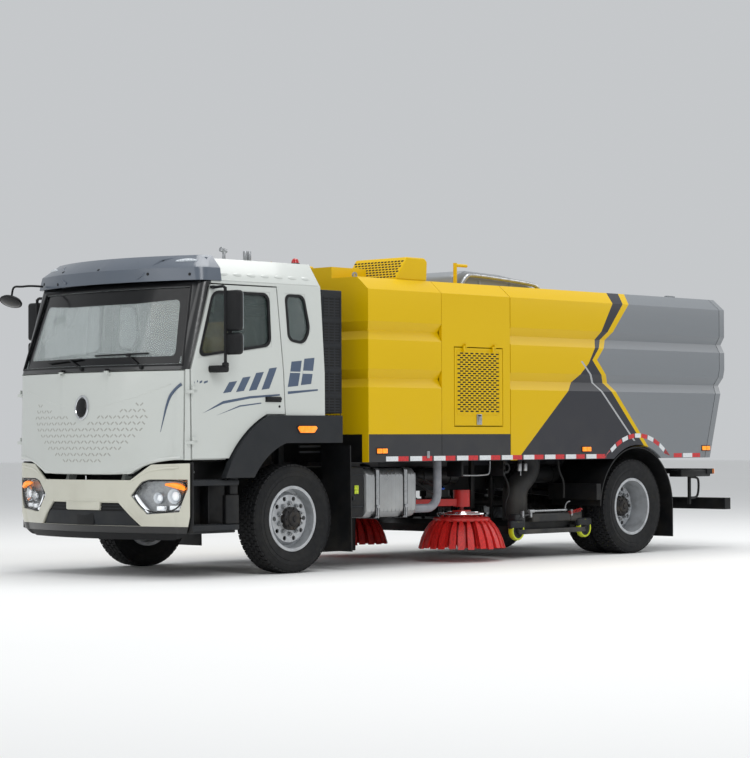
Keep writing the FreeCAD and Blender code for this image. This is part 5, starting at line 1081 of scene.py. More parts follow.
class SWEEPER_OT_windscreen(bpy.types.Operator):
    """Windscreen's black border, deepened across its top as painted shadow of the visor, seal and wipers, and
    the cab's dark lining behind it
    """
    bl_idname = "sweeper.windscreen"
    bl_label = "Windscreen"

    def execute(self, context):
        # the glass's black edge band, deepened across the top as painted shadow of the visor
        border = Piece()
        inner = rounded([(-1.015, 1.985), (1.015, 1.985), (0.93, 2.50), (0.45, 2.475), (-0.45, 2.475),
                         (-0.93, 2.50)], 0.045)
        draped(border, drawn_in(SCREEN, 0.004), skin("cab_glass"), (-1, 0, 0), 0.001, 0.09, 0.002, inner)
        border.settle("windscreen_border", "cab", "gloss")
        seal = Piece()
        tree = skin("cab_shell", "cab_glass")
        corners = drawn_in(SCREEN, -0.012)
        for start, end in zip(corners, corners[1:] + corners[:1]):
            seal.pipe(front_line(tree, between(start, end, 8)), 0.009)
        seal.settle("windscreen_seal", "cab", "seal")
        wipers = Piece()
        for pivot, elbow, start, end in (((-0.05, 1.888), (-0.24, 1.965), (-0.60, 1.950), (-0.08, 1.975)),
                                         ((0.70, 1.888), (0.52, 1.995), (0.10, 2.000), (0.74, 2.010))):
            spot, normal = ahead(tree, *pivot)
            wipers.bar(spot - normal * 0.01, spot + normal * 0.022, 0.022, 20, 0.016, 0.004)
            joint, out = ahead(tree, *elbow)
            wipers.pipe([spot + normal * 0.02, (spot + joint) / 2 + normal * 0.045, joint + out * 0.030],
                        0.007)
            blade = [ahead(tree, y, z) for y, z in between(start, end, 4)]
            for lift, radius in ((0.020, 0.0065), (0.009, 0.0045)):
                wipers.pipe([place + way * lift for place, way in blade], radius)
            wipers.block(joint + out * 0.022, (0.05, 0.02, 0.02), 0.004, facing(out))
        wipers.settle("wipers", "cab", "seal")
        lining = Piece()
        lining.plate(rounded(rectangle(-1.12, 1.30, 1.12, 2.66), 0.08), 2.425, 2.435, "x",
                     hole=rounded(rectangle(-0.50, 1.97, 0.50, 2.38), 0.04))
        lining.plate(rounded(rectangle(2.47, -1.06, 3.78, 1.06), 0.10), 2.715, 2.725, "z")
        lining.settle("cab_lining", "cab", "trim")
        return {"FINISHED"}


# ---------------------------------------------------------------- cab sides

DOOR_WINDOW = [(FRONT.x + x, z) for x, z in ((1.255, 1.965), (1.040, 2.585), (0.345, 2.585), (0.352, 2.085))]
QUARTER_WINDOW = [(FRONT.x + x, z) for x, z in
                  ((0.150, 2.140), (0.165, 2.585), (-0.090, 2.585), (-0.150, 2.250), (-0.060, 2.110))]


def side_lean(node, a, b, c):
    """The matrix that leans a flat shape onto a cab side that passes three places."""
    (x0, z0), (x1, z1), (x2, z2) = a, b, c
    y0, y1, y2 = (aside(skin(node), x, z)[0].y for x, z in (a, b, c))
    rows = Matrix(((1, x0, z0), (1, x1, z1), (1, x2, z2)))
    base, along, up = rows.inverted() @ Vector((y0, y1, y2))
    return Matrix(((1, 0, 0, 0), (along, 1, up, base), (0, 0, 1, 0), (0, 0, 0, 1)))


class SWEEPER_OT_side_windows(bpy.types.Operator):
    """Rounded frames and seals of the side windows"""
    bl_idname = "sweeper.side_windows"
    bl_label = "Side windows"

    def execute(self, context):
        for name, outline, node, spots, radius in (
            ("door", DOOR_WINDOW, "door_left", ((0.28, 2.0), (0.28, 2.6), (1.0, 2.61)), 0.075),
            ("quarter", QUARTER_WINDOW, "cab_shell", ((-0.2, 2.0), (-0.2, 2.6), (0.1, 2.61)), 0.060),
        ):
            lean = side_lean(node, *((FRONT.x + x, z) for x, z in spots))
            for side, word in SIDES:
                body = f"door_{word}" if name == "door" else "cab"
                frame_in, seal = Piece(), Piece()
                inner = rounded(drawn_in(outline, 0.010), radius)
                frame_in.plate(drawn_in(outline, 0.0008), -0.012, -0.002, "y", 0, inner, lean)
                frame_in.settle(f"{name}_window_frame_{word}", body, "cab", side)
                seal.plate(rounded(drawn_in(outline, 0.006), radius), -0.016, 0.004, "y", 0,
                           rounded(drawn_in(outline, 0.030), radius * 0.8), lean)
                seal.settle(f"{name}_window_seal_{word}", body, "seal", side)
                if name == "quarter":
                    tinted = Piece()
                    tinted.plate(drawn_in(outline, 0.002), -0.012, -0.009, "y", 0, None, lean)
                    tinted.settle(f"quarter_tint_{word}", body, "glass", side)
        return {"FINISHED"}


class SWEEPER_OT_door_fittings(bpy.types.Operator):
    """Door handles, locks, side stripes, roof pressings and side turn lamps"""
    bl_idname = "sweeper.door_fittings"
    bl_label = "Door fittings"

    def execute(self, context):
        door, shell = skin("door_left"), skin("cab_shell")
        for side, word in SIDES:
            handle = Piece()
            place, normal = aside(door, 3.01, 1.605)
            handle.block(place - normal * 0.003, (0.20, 0.052, 0.014), 0.006, facing(normal))
            handle.block(place + normal * 0.026 + Vector((0.01, 0, 0.004)), (0.18, 0.026, 0.014), 0.006,
                         facing(normal), 3)
            for along in (-0.07, 0.085):
                handle.block(place + normal * 0.014 + Vector((along, 0, 0.004)), (0.02, 0.022, 0.03), 0.004,
                             facing(normal))
            spot, out = aside(door, 2.935, 1.54)
            handle.bar(spot - out * 0.004, spot + out * 0.004, 0.012, 20, bevel=0.002)
            handle.settle(f"door_handle_{word}", f"door_{word}", "seal", side)
            stripes, rear = Piece(), Piece()
            for index in range(4):
                x, z = 3.62 - 0.155 * index, 1.655 + 0.012 * index
                tall = 0.10 + 0.032 * index
                film(stripes, [(x, z), (x - 0.095, z + 0.012), (x - 0.145 - tall * 0.25, z + tall + 0.012),
                               (x - 0.050 - tall * 0.25, z + tall)], door)
            film(stripes, [(3.86, 1.475), (3.62, 1.560), (3.30, 1.610), (2.93, 1.640), (2.93, 1.655),
                           (3.30, 1.632), (3.62, 1.585)], door)
            film(stripes, [(3.70, 1.455), (3.42, 1.535), (3.16, 1.565), (3.16, 1.575), (3.42, 1.548)], door)
            for low, high in ((3.955, 3.915), (3.895, 3.865), (3.845, 3.80)):
                film(stripes, [(low, 1.738), (high, 1.750), (high, 1.768), (low, 1.756)], door)
            stripes.settle(f"door_stripes_{word}", f"door_{word}", "slate", side)
            for x, z, tall in ((2.83, 1.72, 0.235), (2.665, 1.74, 0.245)):
                film(rear, [(x, z), (x - 0.13, z + 0.012), (x - 0.13 - 0.055, z + tall + 0.012),
                            (x - 0.055, z + tall)], shell)
            film(rear, [(2.83, 1.655), (2.45, 1.690), (2.45, 1.706), (2.83, 1.680)], shell)
            rear.settle(f"cab_stripes_{word}", "cab", "slate", side)
            oval, ovals = Piece(), Piece()
            oval.ball((0, 0, 0), 1, (0.055, 0.020, 0.009))
            for index in range(7):
                spot, out = aside(shell, 2.50 + 0.17 * index, 2.735)
                ovals.copies(oval, [Matrix.Translation(spot) @ facing(out).to_4x4()])
            ovals.pipe([aside(shell, x, 2.675)[0] for x in (2.38, 2.7, 3.0, 3.3, 3.6)], 0.009)
            ovals.settle(f"roof_pressings_{word}", "cab", "cab", side)
            lamp = Piece()
            lamp.plate(rounded([(2.735, 1.345), (2.700, 1.300), (2.520, 1.300), (2.480, 1.345),
                                (2.500, 1.362), (2.715, 1.362)], 0.008), 1.258, 1.274, "y", 0.004)
            lamp.settle(f"side_turn_lamp_{word}", "cab", "amber", side)
            case = Piece()
            case.plate(rounded([(2.752, 1.352), (2.710, 1.288), (2.510, 1.288), (2.463, 1.352),
                                (2.490, 1.374), (2.725, 1.374)], 0.008), 1.255, 1.266, "y", 0.003)
            case.settle(f"side_turn_lamp_case_{word}", "cab", "seal", side)
        return {"FINISHED"}


class SWEEPER_OT_roof_fittings(bpy.types.Operator):
    """Horns and beacon on the cab roof, and the visor's lamps and fixings"""
    bl_idname = "sweeper.roof_fittings"
    bl_label = "Cab roof fittings"

    def execute(self, context):
        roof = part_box("cab_shell")[1].z
        posts, beacon, base = Piece(), Piece(), Piece()
        posts.bar((3.2, 0.775, roof - 0.004), (3.2, 0.775, roof + 0.10), 0.017, 16, 0.014, 0.003)
        posts.bar((3.17, 0.775, roof + 0.095), (3.24, 0.775, roof + 0.112), 0.020, 16, 0.024, 0.003)
        for along in (-0.022, 0.026):
            x = 2.95 + along
            posts.bar((x, 0.825, roof - 0.004), (x, 0.825, roof + 0.105), 0.020, 16, 0.022, 0.004)
        posts.span((2.91, 0.80, roof - 0.002), (2.99, 0.85, roof + 0.020), 0.005)
        posts.settle("roof_horns", "cab", "zinc")
        beacon.turned([(0.012, 0), (0.012, 0.038), (0.030, 0.036), (0.050, 0.026), (0.058, 0.012),
                       (0.060, 0)], (2.45, 0.95, roof), UP, 32)
        beacon.settle("roof_beacon", "cab", "red_lens")
        base.turned([(-0.002, 0), (-0.002, 0.044), (0.010, 0.044), (0.014, 0.039), (0.014, 0)],
                    (2.45, 0.95, roof), UP, 32)
        base.settle("roof_beacon_base", "cab", "seal")
        softened("sun_visor", "visor", 0.006)
        tree = skin("sun_visor")
        studs, lamps, wings = Piece(), Piece(), Piece()
        for y, z in ((0.70, 2.86), (0.62, 2.735), (0.0, 2.80), (-0.62, 2.815), (-0.67, 2.70), (1.04, 2.72),
                     (-1.0, 2.72)):
            place, normal = ahead(tree, y, z)
            studs.bar(place - normal * 0.004, place + normal * 0.004, 0.014, 18, bevel=0.002)
        studs.settle("visor_fixings", "cab", "seal")
        for side in (1, -1):
            line = ((0.84, 2.846), (0.90, 2.852), (0.98, 2.852), (1.03, 2.846))
            spots = [ahead(tree, side * y, z) for y, z in line]
            lamps.pipe([place + normal * 0.002 for place, normal in spots], 0.016, widths=(0.5, 1, 1, 0.5))
            line = ((0.50, 2.700), (0.60, 2.745), (0.66, 2.83), (0.70, 2.880), (1.06, 2.872))
            wings.pipe(front_line(tree, line, 0, side), 0.012)
        lamps.settle("visor_lamps", "cab", "clear_lamp")
        wings.settle("visor_ridges", "cab", "visor")
        return {"FINISHED"}


class SWEEPER_OT_mirrors(bpy.types.Operator):
    """Door mirrors and the front mirror"""
    bl_idname = "sweeper.mirrors"
    bl_label = "Mirrors"

    def execute(self, context):
        low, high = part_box("mirror_left")
        pole_x, pole_y = FRONT.x + 1.04, high.y - 0.160
        for side, word in SIDES:
            arm, glass = Piece(), Piece()
            arm.pipe([(pole_x, pole_y, z) for z in (1.875, 2.0, 2.4, 2.60)], 0.014)
            arm.pipe([(pole_x, pole_y, 2.58), (pole_x, pole_y - 0.01, 2.607), (pole_x, pole_y - 0.06, 2.607),
                      (pole_x, low.y + 0.004, 2.600)], 0.013)
            arm.span((FRONT.x + 1.02, low.y + 0.002, 2.592), (FRONT.x + 1.075, low.y + 0.05, 2.618), 0.008)
            arm.span((FRONT.x + 1.00, low.y + 0.020, 1.838), (FRONT.x + 1.13, pole_y + 0.015, 1.900),
                     0.020, 3)
            arm.block((pole_x, pole_y, 1.905), (0.055, 0.05, 0.045), 0.014, None, 3)
            x0, x1 = FRONT.x + 0.957, FRONT.x + 1.040
            y0, y1 = high.y - 0.188, high.y - 0.002
            for z0, z1 in ((2.205, 2.57), (1.995, 2.19)):
                arm.block(((x0 + x1) / 2, (y0 + y1) / 2, (z0 + z1) / 2), (x1 - x0, y1 - y0, z1 - z0), 0.030,
                          None, 4)
                outline = rounded(rectangle(y0 + 0.012, z0 + 0.014, y1 - 0.012, z1 - 0.014), 0.02)
                glass.plate(outline, x0 - 0.0015, x0 + 0.004, "x")
            arm.bar((FRONT.x + 1.0, pole_y + 0.02, 2.185), (FRONT.x + 1.0, pole_y + 0.02, 2.215), 0.018, 16)
            body = NODES["mirror_left"]["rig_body"].replace("left", word)
            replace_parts(arm.settle(f"mirror_housings_{word}", body, "seal", side), f"mirror_{word}")
            glass.settle(f"mirror_glass_{word}", body, "mirror", side)
        low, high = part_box("front_mirror")
        centre = Vector((FRONT.x + 1.452, low.y + 0.122, 2.552))
        bowl, face, shell, dome = Piece(), Piece(), Piece(), Piece()
        shell.turned([(0.0, 0.118), (-0.012, 0.118), (-0.030, 0.100), (-0.044, 0.06), (-0.048, 0)],
                     (0, 0, 0), UP, 48)
        shell.turned([(-0.002, 0), (-0.002, 0.117), (0.004, 0.112), (0.004, 0)], (0, 0, 0), UP, 48)
        turn = (Matrix.Translation(centre) @ facing((0.50, 0.10, -0.86)).to_4x4()
                @ Matrix.Diagonal((1, 0.84, 1, 1)))
        bowl.copies(shell, [turn])
        dome.turned([(0.002, 0), (0.002, 0.106), (0.010, 0.085), (0.016, 0.045), (0.018, 0)],
                    (0, 0, 0), UP, 48)
        face.copies(dome, [turn])
        arm_start = Vector((FRONT.x + 1.24, high.y - 0.012, 2.700))
        bowl.pipe([arm_start, arm_start + Vector((0.14, 0, 0.004)),
                   Vector((FRONT.x + 1.466, high.y - 0.05, 2.69)),
                   Vector((FRONT.x + 1.466, high.y - 0.16, 2.700)),
                   centre + Vector((0.0, 0.02, 0.10)), centre + Vector((-0.01, 0.0, 0.03))], 0.010)
        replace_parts(bowl.settle("front_mirror_bowl", "cab", "seal"), "front_mirror")
        face.settle("front_mirror_face", "cab", "gloss")
        return {"FINISHED"}


# ---------------------------------------------------------------- seats

def cushion(centre, size, crown, turn=None):
    """A crowned cushion with pulled-in corners and two sewn channels."""
    part = bmesh.new()
    bmesh.ops.create_cube(part, size=1)
    bmesh.ops.subdivide_edges(part, edges=part.edges[:], cuts=15, use_grid_fill=True)
    for vert in part.verts:
        u, v, w = (2 * c for c in vert.co)
        swell = (1 - u * u) * (1 - v * v)
        pull = 1 - 0.05 * (u * u * v * v) - 0.04 * abs(w) ** 3
        channel = sum(math.exp(-((v - at) / 0.045) ** 2) for at in (-0.42, 0.42)) * (1 - u ** 8)
        top = w * size[2] / 2 * (1 - 0.25 * max(abs(u), abs(v)) ** 6)
        if w > 0:
            top += crown * swell * w - 0.35 * crown * channel * w ** 4
        vert.co = (u * size[0] / 2 * pull, v * size[1] / 2 * pull, top)
    bmesh.ops.smooth_vert(part, verts=part.verts, factor=0.4, use_axis_x=True, use_axis_y=True,
                          use_axis_z=True)
    piece = Piece()
    piece.take(part, Matrix.Translation(Vector(centre)) @ (turn.to_4x4() if turn else Matrix()))
    return piece


class SWEEPER_OT_seats(bpy.types.Operator):
    """Cab seats: padded cushions on their frames"""
    bl_idname = "sweeper.seats"
    bl_label = "Seats"

    def execute(self, context):
        x, floor = FRONT.x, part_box("seats")[0].z
        lean = Matrix.Rotation(math.radians(-80), 3, "Y")
        for side, word in SIDES:
            y = side * 0.6
            frame_in = Piece()
            frame_in.span((x + 0.06, y - 0.21, floor), (x + 0.48, y + 0.21, floor + 0.20), 0.02)
            frame_in.span((x + 0.10, y - 0.17, floor + 0.19), (x + 0.44, y + 0.17, floor + 0.255), 0.01)
            base = frame_in.settle(f"seat_frame_{word}", "cab", "trim")
            if side > 0:
                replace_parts(base, "seats")
            for name, centre, size, crown, turn in (
                ("pad", (x + 0.28, y, floor + 0.305), (0.46, 0.48, 0.11), 0.022, None),
                ("back", (x + 0.035, y, floor + 0.62), (0.56, 0.46, 0.10), 0.022, lean),
                ("headrest", (x - 0.045, y, floor + 0.935), (0.12, 0.26, 0.075), 0.012, lean),
            ):
                piece = cushion(centre, size, crown, turn)
                done = piece.settle(f"seat_{name}_{word}", "cab", "cloth", 1, 180)
        return {"FINISHED"}


# ---------------------------------------------------------------- stage

# camera: place in metres; turn, tilt and roll in degrees; shift in frame widths; lens and sensor in mm
CAMERA_PLACE = (18.394, 17.103, 1.241)
CAMERA_TURN = (-136.671, 1.353, -0.224)
CAMERA_SHIFT = (-0.00902, 0.0036)
LENS, SENSOR = 114.87, 36
SKY, SKY_STRENGTH = "#F4F7FA", 0.62
# square soft lights: name, place, the place each points at, width in metres, power in watts
LIGHTS = (
    ("key", (9, 13, 12), (0, 0, 1.4), 7, 820),
    ("fill", (16, -3, 7), (2, 0, 1.2), 8, 300),
    ("top", (-1, 0, 13), (0, 0, 0), 9, 950),
    ("rear", (-13, 6, 8), (-2, 0, 1.4), 7, 330),
)


class SWEEPER_OT_stage(bpy.types.Operator):
    """Floor, soft studio lights and the camera"""
    bl_idname = "sweeper.stage"
    bl_label = "Stage"

    def execute(self, context):
        part = bmesh.new()
        bmesh.ops.create_grid(part, x_segments=1, y_segments=1, size=90)
        mesh = bpy.data.meshes.new("floor")
        part.to_mesh(mesh)
        part.free()
        mesh.materials.append(surface("pale_studio_floor", "#F2F2F1", 0.9,
                                      coats=[(clouds(4000, 0.3, 0.8, 0.3), "#ECECEB")]))
        floor = bpy.data.objects.new("floor", mesh)
        context.scene.collection.objects.link(floor)

        world = bpy.data.worlds.new("studio")
        world.use_nodes = True
        backdrop = world.node_tree.nodes["Background"]
        backdrop.inputs["Color"].default_value = (*linear(SKY), 1)
        backdrop.inputs["Strength"].default_value = SKY_STRENGTH
        context.scene.world = world
        context.scene.view_settings.view_transform = "Standard"

        for name, place, aim, size, power in LIGHTS:
            light = bpy.data.lights.new(name, "AREA")
            light.shape = "SQUARE"
            light.size = size
            light.energy = power
            lamp = bpy.data.objects.new(name, light)
            lamp.location = place
            lamp.rotation_euler = (Vector(aim) - Vector(place)).to_track_quat("-Z", "Y").to_euler()
            context.scene.collection.objects.link(lamp)

        camera = bpy.data.cameras.new("camera")
        camera.lens, camera.sensor_width = LENS, SENSOR
        camera.shift_x, camera.shift_y = CAMERA_SHIFT
        camera.clip_end = 300
        yaw, pitch, roll = (math.radians(a) for a in CAMERA_TURN)
        gaze = Vector((math.cos(yaw) * math.cos(pitch), math.sin(yaw) * math.cos(pitch), math.sin(pitch)))
        right = gaze.cross(UP).normalized()
        above = right.cross(gaze)
        across = right * math.cos(roll) + above * math.sin(roll)
        above = above * math.cos(roll) - right * math.sin(roll)
        eye = bpy.data.objects.new("camera", camera)
        turn = Matrix((across, above, -gaze)).transposed()
        eye.matrix_world = Matrix.Translation(CAMERA_PLACE) @ turn.to_4x4()
        context.scene.collection.objects.link(eye)
        context.scene.camera = eye
        return {"FINISHED"}


class SWEEPER_OT_finishes(bpy.types.Operator):
    """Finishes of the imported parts"""
    bl_idname = "sweeper.finishes"
    bl_label = "Finishes"

    def execute(self, context):
        for finish, nodes in NODE_FINISHES.items():
            for node in nodes:
                mesh = NODES[node].data
                mesh.materials.clear()
                mesh.materials.append(finish_named(finish))
        return {"FINISHED"}


# ---------------------------------------------------------------- sweeper body

class SWEEPER_OT_soft_edges(bpy.types.Operator):
    """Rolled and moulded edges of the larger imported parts"""
    bl_idname = "sweeper.soft_edges"
    bl_label = "Rolled edges"

    def execute(self, context):
        rolled = (("wheel_arches", 0.016), ("fuel_tank", 0.03), ("battery_boxes", 0.016),
                  ("air_intake", 0.01), ("power_pack_housing", 0.006), ("hopper_body", 0.006),
                  ("roof_cowls", 0.03), ("tailgate", 0.006), ("rear_underrun", 0.010),
                  ("door_left", 0.004), ("door_right", 0.004))
        for node, radius in rolled:
            finish = next(name for name, nodes in NODE_FINISHES.items() if node in nodes)
            softened(node, finish, radius)
        return {"FINISHED"}


class SWEEPER_OT_reflective_tape(bpy.types.Operator):
    """Red and white reflective tape, side marker lamps and connectors"""
    bl_idname = "sweeper.reflective_tape"
    bl_label = "Reflective tape"

    def execute(self, context):
        body = skin("hopper_body", "power_pack_housing", "fan_housing")
        # the wheel arch's radius, a strip's length and the gap after each red one
        arch, wide, gap = 0.75, 0.17, 0.024
        start = PACK[1].x - 0.24
        for side, word in SIDES:
            tapes = {"tape_red": Piece(), "tape_white": Piece()}
            hopper_tapes = {"tape_red": Piece(), "tape_white": Piece()}
            for index in range(int((start - HOPPER[0].x) / wide)):
                high = start - index * wide
                low = high - wide + (gap if index % 2 else 0)
                if low < HOPPER[0].x + 0.25 or abs((low + high) / 2 - REAR.x) < 0.60:
                    continue
                pieces = tapes if low > HOPPER[1].x else hopper_tapes
                film(pieces["tape_red" if index % 2 else "tape_white"],
                     rectangle(low, BODY_BOTTOM + 0.006, high, BODY_BOTTOM + 0.052), body, 0.001, 0.09)
            strips = 11
            for index in range(strips):
                first, last = (math.radians(137 - 94 * (index + end) / strips) for end in (0.08, 0.96))
                edge = [(REAR.x + radius * math.cos(turn), REAR.z + radius * math.sin(turn))
                        for radius, turn in ((arch - 0.012, first), (arch - 0.012, last),
                                             (arch + 0.034, last), (arch + 0.034, first))]
                film(hopper_tapes["tape_white" if index % 2 else "tape_red"], edge, body, 0.001, 0.09)
            for start_name, where, pieces in (("", "chassis", tapes), ("hopper_", "hopper", hopper_tapes)):
                for name, piece in pieces.items():
                    piece.settle(f"{start_name}{name}_{word}", where, name, side)
            for spot, where in ((1.62, "chassis"), (-1.50, "hopper"), (-3.62, "hopper")):
                lamp, case = Piece(), Piece()
                place, normal = aside(body, spot, BODY_BOTTOM + 0.105)
                case.block(place, (0.155, 0.062, 0.012), 0.004, facing(normal))
                for along in (-0.037, 0.037):
                    lamp.block(place + normal * 0.008 + Vector((along, 0, 0)), (0.066, 0.046, 0.014), 0.005,
                               facing(normal))
                number = str(abs(int(spot * 100)))
                lamp.settle(f"marker_lamp_{word}_{number}", where, "amber", side)
                case.settle(f"marker_lamp_case_{word}_{number}", where, "seal", side)
            switch = Piece()
            switch.span((0.945, BODY_SIDE - 0.004, BODY_BOTTOM + 0.03),
                        (0.985, BODY_SIDE + 0.010, BODY_BOTTOM + 0.10), 0.005)
            switch.settle(f"body_connector_{word}", "chassis", "zinc", side)
        return {"FINISHED"}


class SWEEPER_OT_service_doors(bpy.types.Operator):
    """Louvre slots painted as near-black shade, frames and latches of the service doors"""
    bl_idname = "sweeper.service_doors"
    bl_label = "Service doors"

    def execute(self, context):
        low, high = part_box("service_door_left")
        centre = (low.x + high.x) / 2
        face = aside(skin("service_door_left"), centre, 1.8)[0].y
        rows, columns = 27, 8
        x0, x1, z0, z1 = low.x + 0.078, high.x - 0.034 - 0.03, 1.511, 2.085
        for side, word in SIDES:
            slots, fittings, fold, plate = Piece(), Piece(), Piece(), Piece()
            # each louvre slot is a flat near-black patch on the door: painted shade for its hole
            for row in range(rows):
                z = z0 + (z1 - z0) * row / (rows - 1)
                for column in range(columns):
                    x = x0 + (x1 - x0) * (column + 0.5 * (row % 2)) / (columns - 0.5)
                    slots.block((x, face + 0.0002, z), (0.046, 0.0016, 0.0135))
            slots.settle(f"door_louvres_{word}", f"service_door_{word}", "hole_shade", side)
            outline = rounded(rectangle(low.x + 0.045, z0 - 0.035, high.x - 0.03, z1 + 0.035), 0.02)
            hole = rounded(rectangle(low.x + 0.052, z0 - 0.028, high.x - 0.037, z1 + 0.028), 0.016)
            fold.plate(outline, face - 0.002, face + 0.0035, "y", 0.001, hole)
            fold.settle(f"door_fold_{word}", f"service_door_{word}", "yellow", side)
            fittings.block((centre, face + 0.004, low.z + 0.062), (0.075, 0.012, 0.105), 0.005)
            fittings.block((centre, face + 0.012, low.z + 0.062), (0.045, 0.012, 0.055), 0.005)
            fittings.settle(f"door_latch_{word}", f"service_door_{word}", "zinc", side)
            plate.block((centre, face + 0.008, low.z + 0.10), (0.05, 0.006, 0.014), 0.002)
            plate.settle(f"latch_cover_{word}", f"service_door_{word}", "seal", side)
        return {"FINISHED"}


class SWEEPER_OT_air_intake(bpy.types.Operator):
    """Slotted panels of the air intakes with their slots painted as near-black shade, and the slats behind
    them
    """
    bl_idname = "sweeper.air_intake"
    bl_label = "Air intakes"

    def execute(self, context):
        low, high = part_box("air_intake")
        body = NODES["air_intake"]["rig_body"]
        for side, word in SIDES:
            slots, frames = Piece(), Piece()
            # each slot is a flat near-black patch: painted shade for its hole
            for group in range(5):
                z0 = low.z + 0.50 + 0.235 * group
                for row in range(7):
                    for column in range(3):
                        x = low.x + 0.062 + 0.075 * column
                        slots.block((x, high.y - 0.0005, z0 + 0.026 * row), (0.055, 0.003, 0.011))
                outline = rectangle(low.x + 0.02, z0 - 0.022, high.x - 0.03, z0 + 0.178)
                hole = rectangle(low.x + 0.027, z0 - 0.015, high.x - 0.037, z0 + 0.171)
                frames.plate(outline, high.y - 0.002, high.y + 0.004, "y", 0.001, hole)
            for index in range(28):
                z = low.z + 0.16 + 0.052 * index
                frames.block(((low.x + high.x) / 2, high.y - 0.30, z), (0.28, 0.02, 0.02), 0.003)
            slots.settle(f"intake_slots_{word}", body, "hole_shade", side)
            frames.settle(f"intake_frames_{word}", body, "trim", side)
        return {"FINISHED"}


class SWEEPER_OT_body_roof(bpy.types.Operator):
    """Mesh of the roof cowls painted as near-black shade, lifting eyes and level stick"""
    bl_idname = "sweeper.body_roof"
    bl_label = "Body roof"

    def execute(self, context):
        cowl = skin("roof_cowls")
        for side, word in SIDES:
            mesh = Piece()
            # each mesh hole is a flat near-black patch on the cowl: painted shade
            for row in range(7):
                z = 2.818 + 0.026 * row
                for column in range(15 - row % 2):
                    y = 0.46 + 0.045 * (column + 0.5 * (row % 2))
                    place, normal = laid(cowl, (4, y, z), (-1, 0, 0))
                    mesh.block(place + normal * 0.0008, (0.030, 0.016, 0.002), 0, facing(normal))
            mesh.settle(f"cowl_mesh_{word}", NODES["roof_cowls"]["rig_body"], "hole_shade", side)
            eyes = Piece()
            for x in (1.72, 0.84):
                eyes.turned([(-0.008, 0.016), (0.008, 0.016), (0.008, 0.03), (-0.008, 0.03), (-0.008, 0.016)],
                            (x, 1.02, 2.812), (0, 1, 0), 20)
            eyes.settle(f"lifting_eyes_{word}", "chassis", "zinc", side)
        stick = Piece()
        stick.bar((1.55, -0.30, 2.89), (1.55, -0.30, 3.018), 0.008, 12)
        stick.settle("level_stick", "chassis", "yellow")
        return {"FINISHED"}


# ---------------------------------------------------------------- under the body

class SWEEPER_OT_tank_and_boxes(bpy.types.Operator):
    """Tank straps and cap, box lid straps and reflector, and an air tube"""
    bl_idname = "sweeper.tank_and_boxes"
    bl_label = "Tank and boxes"

    def execute(self, context):
        low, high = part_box("fuel_tank")
        straps, rubber = Piece(), Piece()
        middle_y, middle_z = (low.y + high.y) / 2, (low.z + high.z) / 2
        half_y, half_z = (high.y - low.y) / 2, (high.z - low.z) / 2
        places = (low.x + 0.17, high.x - 0.15)
        for x in places:
            for piece, wide, out in ((rubber, 0.062, 0.003), (straps, 0.042, 0.007)):
                hoop = rounded(rectangle(middle_y - half_y - out, middle_z - half_z - out,
                                         middle_y + half_y + out, middle_z + half_z + out), 0.035 + out)
                gap = rounded(rectangle(middle_y - half_y + 0.002, middle_z - half_z + 0.002,
                                        middle_y + half_y - 0.002, middle_z + half_z - 0.002), 0.033)
                piece.plate(hoop, x - wide / 2, x + wide / 2, "x", 0, gap)
        for x in places:
            straps.bar((x, high.y + 0.012, low.z - 0.004), (x, high.y + 0.012, low.z + 0.10), 0.007, 12)
            straps.block((x, high.y + 0.010, low.z + 0.11), (0.04, 0.016, 0.03), 0.004)
        for index in range(12):
            x = low.x + 0.03 + 0.055 * index
            straps.bar((x, high.y - 0.002, low.z + 0.05), (x, high.y - 0.002, high.z - 0.05), 0.0028, 6)
        straps.settle("tank_straps", "chassis", "zinc")
        rubber.settle("tank_strap_rubbers", "chassis", "seal")
        cap = Piece()
        cap.turned([(-0.01, 0), (-0.01, 0.045), (0.012, 0.045), (0.014, 0.052), (0.030, 0.052),
                    (0.034, 0.046), (0.034, 0)], (high.x - 0.08, high.y - 0.10, high.z), (0, 0.35, 1), 32)
        cap.settle("tank_cap", "chassis", "seal")
        sign = Piece()
        sign.span((1.845, 1.178, 0.720), (1.900, 1.186, 0.800), 0.003)
        sign.settle("box_reflector", "chassis", "lime_tape")
        lids = Piece()
        for z in (0.60, 0.90):
            lids.span((1.775, 1.174, z - 0.006), (1.962, 1.187, z + 0.006), 0.003)
        lids.span((1.90, 1.176, 0.66), (1.925, 1.190, 0.70), 0.004)
        lids.settle("box_lid_straps", "chassis", "trim")
        tube = Piece()
        tube.pipe([(0.62, 1.07, 1.0), (0.60, 1.06, 0.93), (0.56, 1.02, 0.86), (0.55, 1.0, 0.78),
                   (0.42, 0.96, 0.74), (0.25, 0.86, 0.735), (0.15, 0.72, 0.76)], 0.009)
        tube.settle("air_tube", "chassis", "blue")
        return {"FINISHED"}


